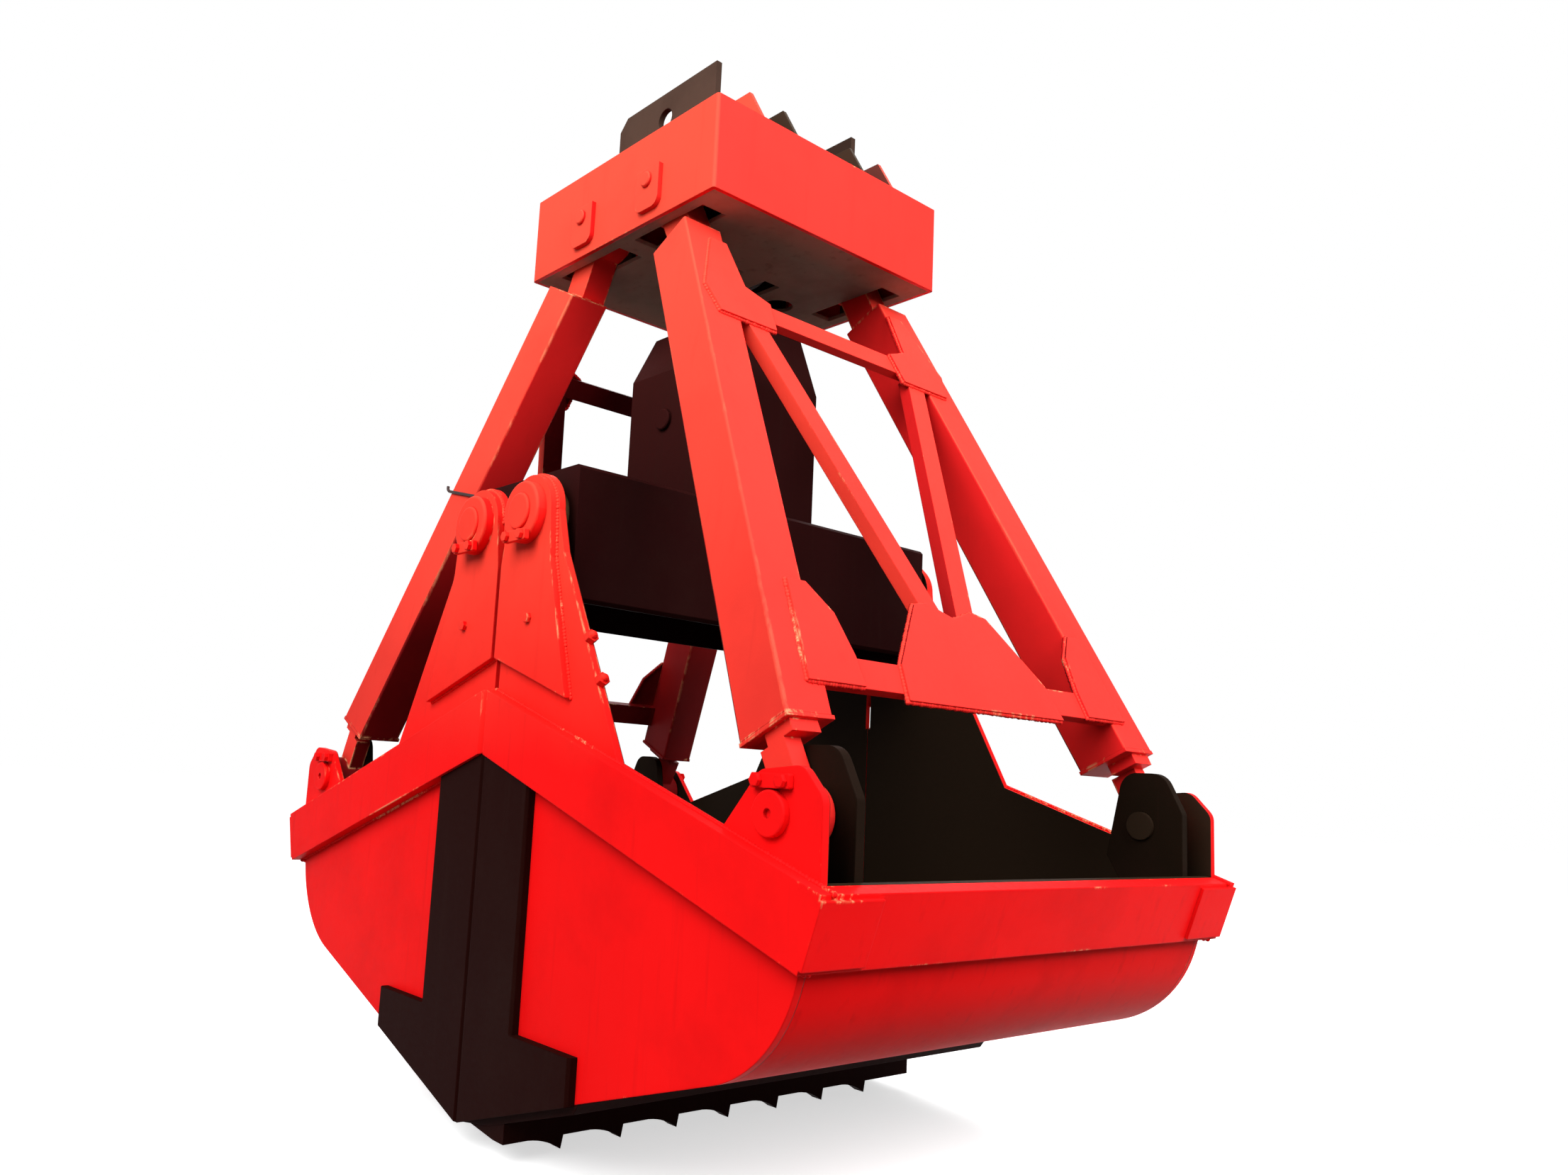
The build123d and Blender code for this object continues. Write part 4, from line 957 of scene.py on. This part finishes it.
class GRAB_OT_weld_shells(bpy.types.Operator):
    """Lay weld beads round the bands and boss plates of both shells"""

    bl_idname = "grab.weld_shells"
    bl_label = "Weld shells"

    def execute(self, context):
        def off_seam(first, second):
            clear = min(abs(first.x), abs(second.x)) > SEAM_CLEAR
            return clear or abs(first.x - second.x) > SEAM_SPAN

        across = Vector((0, 1, 0))
        for hand, _ in HANDS:
            seams = []
            for face in (-END_FACE, END_FACE):
                plane = Vector((0, face, 0))
                for name in ("rim_band", "hinge_bosses"):
                    seams += node_seams(hand + "_" + name, plane, across, off_seam)
            lay_beads(hand + "_shell_welds", hand + "_shell", "shell_red_paint", seams)
        return {"FINISHED"}


class GRAB_OT_weld_arms(bpy.types.Operator):
    """Lay weld beads round the gusset plates of both arm pairs"""

    bl_idname = "grab.weld_arms"
    bl_label = "Weld arm pairs"

    def execute(self, context):
        for hand, side in HANDS:
            foot, _, outward = arm_axes(side)
            seams = node_seams(hand + "_gussets", foot + outward * ARM_HALF_DEPTH, outward)
            lay_beads(hand + "_arm_welds", hand + "_arm_pair", "upper_red_paint", seams)
        return {"FINISHED"}


class GRAB_OT_weld_head(bpy.types.Operator):
    """Lay weld beads under the plates on the head and round the sheave housing"""

    bl_idname = "grab.weld_head"
    bl_label = "Weld head and block"

    def execute(self, context):
        rise = Vector((0, 0, 1))
        head_top = Vector((0, 0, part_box("head_casing")[1].z))
        seams = node_seams("guide_cheeks", head_top, rise) + node_seams("suspension_lugs", head_top, rise)
        lay_beads("head_top_welds", "head", "upper_red_paint", seams)

        def outside(first, _):
            return abs(first.x) > HOUSING_OUTSIDE[0] or abs(first.y) > HOUSING_OUTSIDE[1]

        block_top = Vector((0, 0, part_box("block_casing")[1].z))
        seams = node_seams("sheave_housing", block_top, rise, outside)
        lay_beads("housing_welds", "lower_block", "block_paint", seams)
        return {"FINISHED"}


class GRAB_OT_set_edge_bolts(bpy.types.Operator):
    """Set the two bolts in the outer edge of the right shell's near hinge arm"""

    bl_idname = "grab.set_edge_bolts"
    bl_label = "Set edge bolts"

    def execute(self, context):
        fittings = looks().fittings
        top = Vector((HINGE_EDGE_TOP[0], END_PLATE / 2 - END_FACE, up(HINGE_EDGE_TOP[1])))
        foot = Vector((HINGE_EDGE_FOOT[0], END_PLATE / 2 - END_FACE, up(HINGE_EDGE_FOOT[1])))
        down = (foot - top).normalized()
        sizes = {
            "Radius": fittings.bolt_radius,
            "Height": fittings.bolt_height,
            "Direction": Vector((-down.z, 0, down.x)),
            "Finish": material("bolt_paint"),
        }
        seats = [top + down * distance for distance in EDGE_BOLTS]
        grow("right_edge_bolts", "right_shell", bolt_tree(), sizes, seats)
        return {"FINISHED"}


class GRAB_OT_tie_wire(bpy.types.Operator):
    """Tie a wire round the left near arm, with a short loose end"""

    bl_idname = "grab.tie_wire"
    bl_label = "Tie wire"

    def execute(self, context):
        fittings = looks().fittings
        foot, along, outward = arm_axes(-1)
        gap = fittings.tie_radius
        route = []
        for slanted, depth, inner in ((0, 1, 0), (1, -1, 0), (1, -1, 1), (0, 1, 1)):
            height = fittings.tie_height + slanted * fittings.tie_slant
            edge = ARM_OUTER_FOOT - ARM_LEAN * height
            across = edge + gap if inner == 0 else edge - ARM_WIDTH - gap
            sideways = outward * depth * (ARM_HALF_DEPTH + gap)
            route.append(foot + along * height + sideways - Vector((0, across, 0)))
        start = route[0]
        for out, rise, away in TIE_END:
            route.append(start + outward * out + along * rise - Vector((0, away, 0)))
        edges = [(0, 1), (1, 2), (2, 3), (3, 0), (0, 4), (4, 5)]
        sizes = {
            "Radius": fittings.tie_radius,
            "Bend": fittings.tie_bend,
            "Finish": material("tie_wire"),
        }
        grow("left_arm_tie", "left_arm_pair", wire_tree(), sizes, route, edges)
        return {"FINISHED"}


class GRAB_OT_set_stage(bpy.types.Operator):
    """Set the floor, the lamps, the sky and the camera"""

    bl_idname = "grab.set_stage"
    bl_label = "Set stage"

    def execute(self, context):
        settings = looks().stage
        self.lay_floor(cad_box[0].z - settings.floor_drop)
        self.light_sky(settings.horizon, settings.zenith)
        self.hang_lamp("key_lamp", KEY_PLACE, LAMP_AIM, settings.key_power)
        self.hang_lamp("fill_lamp", FILL_PLACE, FILL_AIM, settings.fill_power)
        self.hang_lamp("back_lamp", BACK_PLACE, LAMP_AIM, settings.back_power)
        self.place_camera(context.scene)
        context.scene.view_settings.view_transform = "Standard"
        return {"FINISHED"}

    def lay_floor(self, height):
        """A wide pale floor that looks white and still takes the shadow."""
        shape = bmesh.new()
        bmesh.ops.create_circle(shape, cap_ends=True, radius=FLOOR_RADIUS, segments=96)
        bmesh.ops.translate(shape, verts=shape.verts, vec=(0, 0, height))
        data = bpy.data.meshes.new("floor")
        shape.to_mesh(data)
        shape.free()
        floor = bpy.data.objects.new("floor", data)
        bpy.context.scene.collection.objects.link(floor)
        made = bpy.data.materials.new("pale_floor")
        made.use_nodes = True
        tree = made.node_tree
        tree.nodes.clear()
        shade = add(tree, "ShaderNodeBsdfDiffuse", {"Color": FLOOR_COLOUR})
        glow = add(tree, "ShaderNodeEmission", {"Color": WHITE, "Strength": FLOOR_GLOW})
        bright = add(tree, "ShaderNodeAddShader", {0: shade.outputs[0], 1: glow.outputs[0]})
        dull = add(tree, "ShaderNodeBsdfDiffuse", {"Color": FLOOR_BOUNCE})
        mixed = add(tree, "ShaderNodeMixShader", {
            0: self.seen_directly(tree),
            1: dull.outputs[0],
            2: bright.outputs[0],
        })
        add(tree, "ShaderNodeOutputMaterial", {"Surface": mixed.outputs[0]})
        data.materials.append(made)

    def seen_directly(self, tree):
        """1 for rays from the camera, in a mirror or through glass."""
        path = add(tree, "ShaderNodeLightPath").outputs
        shown = math_node(tree, "MAXIMUM", path["Is Camera Ray"], path["Is Glossy Ray"])
        return math_node(tree, "MAXIMUM", shown, path["Is Transmission Ray"])

    def light_sky(self, horizon, zenith):
        """Light that is stronger from above, white where the camera sees it."""
        world = bpy.data.worlds.new("studio")
        bpy.context.scene.world = world
        world.use_nodes = True
        tree = world.node_tree
        back = tree.nodes["Background"].inputs
        direction = split(tree, add(tree, "ShaderNodeTexCoord").outputs["Generated"])
        soft = ramp(tree, direction["Z"], 0.0, 1.0, low=horizon, high=zenith)
        # In a Mix node for numbers, 0 is the factor, 2 and 3 are the numbers and output 0 is the result.
        level = add(tree, "ShaderNodeMix", {0: self.seen_directly(tree), 2: soft, 3: 1.0}, data_type="FLOAT")
        feed(tree, back["Color"], WHITE)
        feed(tree, back["Strength"], level.outputs[0])

    def hang_lamp(self, name, place, target, power):
        """A large square lamp aimed at a point."""
        lamp = bpy.data.lights.new(name, "AREA")
        lamp.shape = "SQUARE"
        lamp.size = LAMP_SIZE
        lamp.energy = power
        holder = bpy.data.objects.new(name, lamp)
        bpy.context.scene.collection.objects.link(holder)
        holder.location = place
        holder.rotation_euler = (Vector(target) - Vector(place)).to_track_quat("-Z", "Y").to_euler()

    def place_camera(self, scene):
        """The camera at the photograph's angle: low, close and looking a little up."""
        azimuth = math.radians(CAMERA_AZIMUTH)
        elevation = math.radians(CAMERA_ELEVATION)
        roll = math.radians(CAMERA_ROLL)
        back = Vector((
            math.sin(azimuth) * math.cos(elevation),
            -math.cos(azimuth) * math.cos(elevation),
            math.sin(elevation),
        ))
        level = (-back).cross(Vector((0, 0, 1))).normalized()
        upright = level.cross(-back)
        right = math.cos(roll) * level + math.sin(roll) * upright
        top = math.cos(roll) * upright - math.sin(roll) * level
        data = bpy.data.cameras.new("photo_camera")
        data.sensor_fit = "HORIZONTAL"
        data.sensor_width = CAMERA_SENSOR
        data.lens = CAMERA_LENS
        data.shift_x, data.shift_y = CAMERA_SHIFT
        camera = bpy.data.objects.new("photo_camera", data)
        scene.collection.objects.link(camera)
        turned = Matrix((right, top, back)).transposed().to_4x4()
        turned.translation = CAMERA_PLACE
        camera.matrix_world = turned
        scene.camera = camera


OPERATORS = (
    GRAB_OT_paint_head,
    GRAB_OT_paint_block,
    GRAB_OT_paint_sheaves,
    GRAB_OT_paint_arms,
    GRAB_OT_paint_shells,
    GRAB_OT_weld_shells,
    GRAB_OT_weld_arms,
    GRAB_OT_weld_head,
    GRAB_OT_set_edge_bolts,
    GRAB_OT_tie_wire,
    GRAB_OT_set_stage,
)


class GRAB_PT_looks(bpy.types.Panel):
    """Settings and steps of the grab's looks"""

    bl_idname = "GRAB_PT_looks"
    bl_label = "Grab looks"
    bl_space_type = "VIEW_3D"
    bl_region_type = "UI"
    bl_category = "Grab"

    def draw(self, context):
        settings = context.scene.grab_looks
        for group in (settings.paint, settings.welds, settings.fittings, settings.stage):
            for name in group.bl_rna.properties.keys():
                if name not in ("rna_type", "name"):
                    self.layout.prop(group, name)
        for step in OPERATORS:
            self.layout.operator(step.bl_idname)


CLASSES = (GrabPaint, GrabWelds, GrabFittings, GrabStage, GrabLooks) + OPERATORS + (GRAB_PT_looks,)


def register():
    """Registers the classes and the settings."""
    for kind in CLASSES:
        bpy.utils.register_class(kind)
    bpy.types.Scene.grab_looks = bpy.props.PointerProperty(type=GrabLooks)


def unregister():
    """Takes the classes and the settings away again."""
    del bpy.types.Scene.grab_looks
    for kind in reversed(CLASSES):
        bpy.utils.unregister_class(kind)


def main():
    """Dresses the grab step by step."""
    register()
    bpy.ops.grab.paint_head()
    bpy.ops.grab.paint_block()
    bpy.ops.grab.paint_sheaves()
    bpy.ops.grab.paint_arms()
    bpy.ops.grab.paint_shells()
    bpy.ops.grab.weld_shells()
    bpy.ops.grab.weld_arms()
    bpy.ops.grab.weld_head()
    bpy.ops.grab.set_edge_bolts()
    bpy.ops.grab.tie_wire()
    bpy.ops.grab.set_stage()


if __name__ == "__main__":
    main()
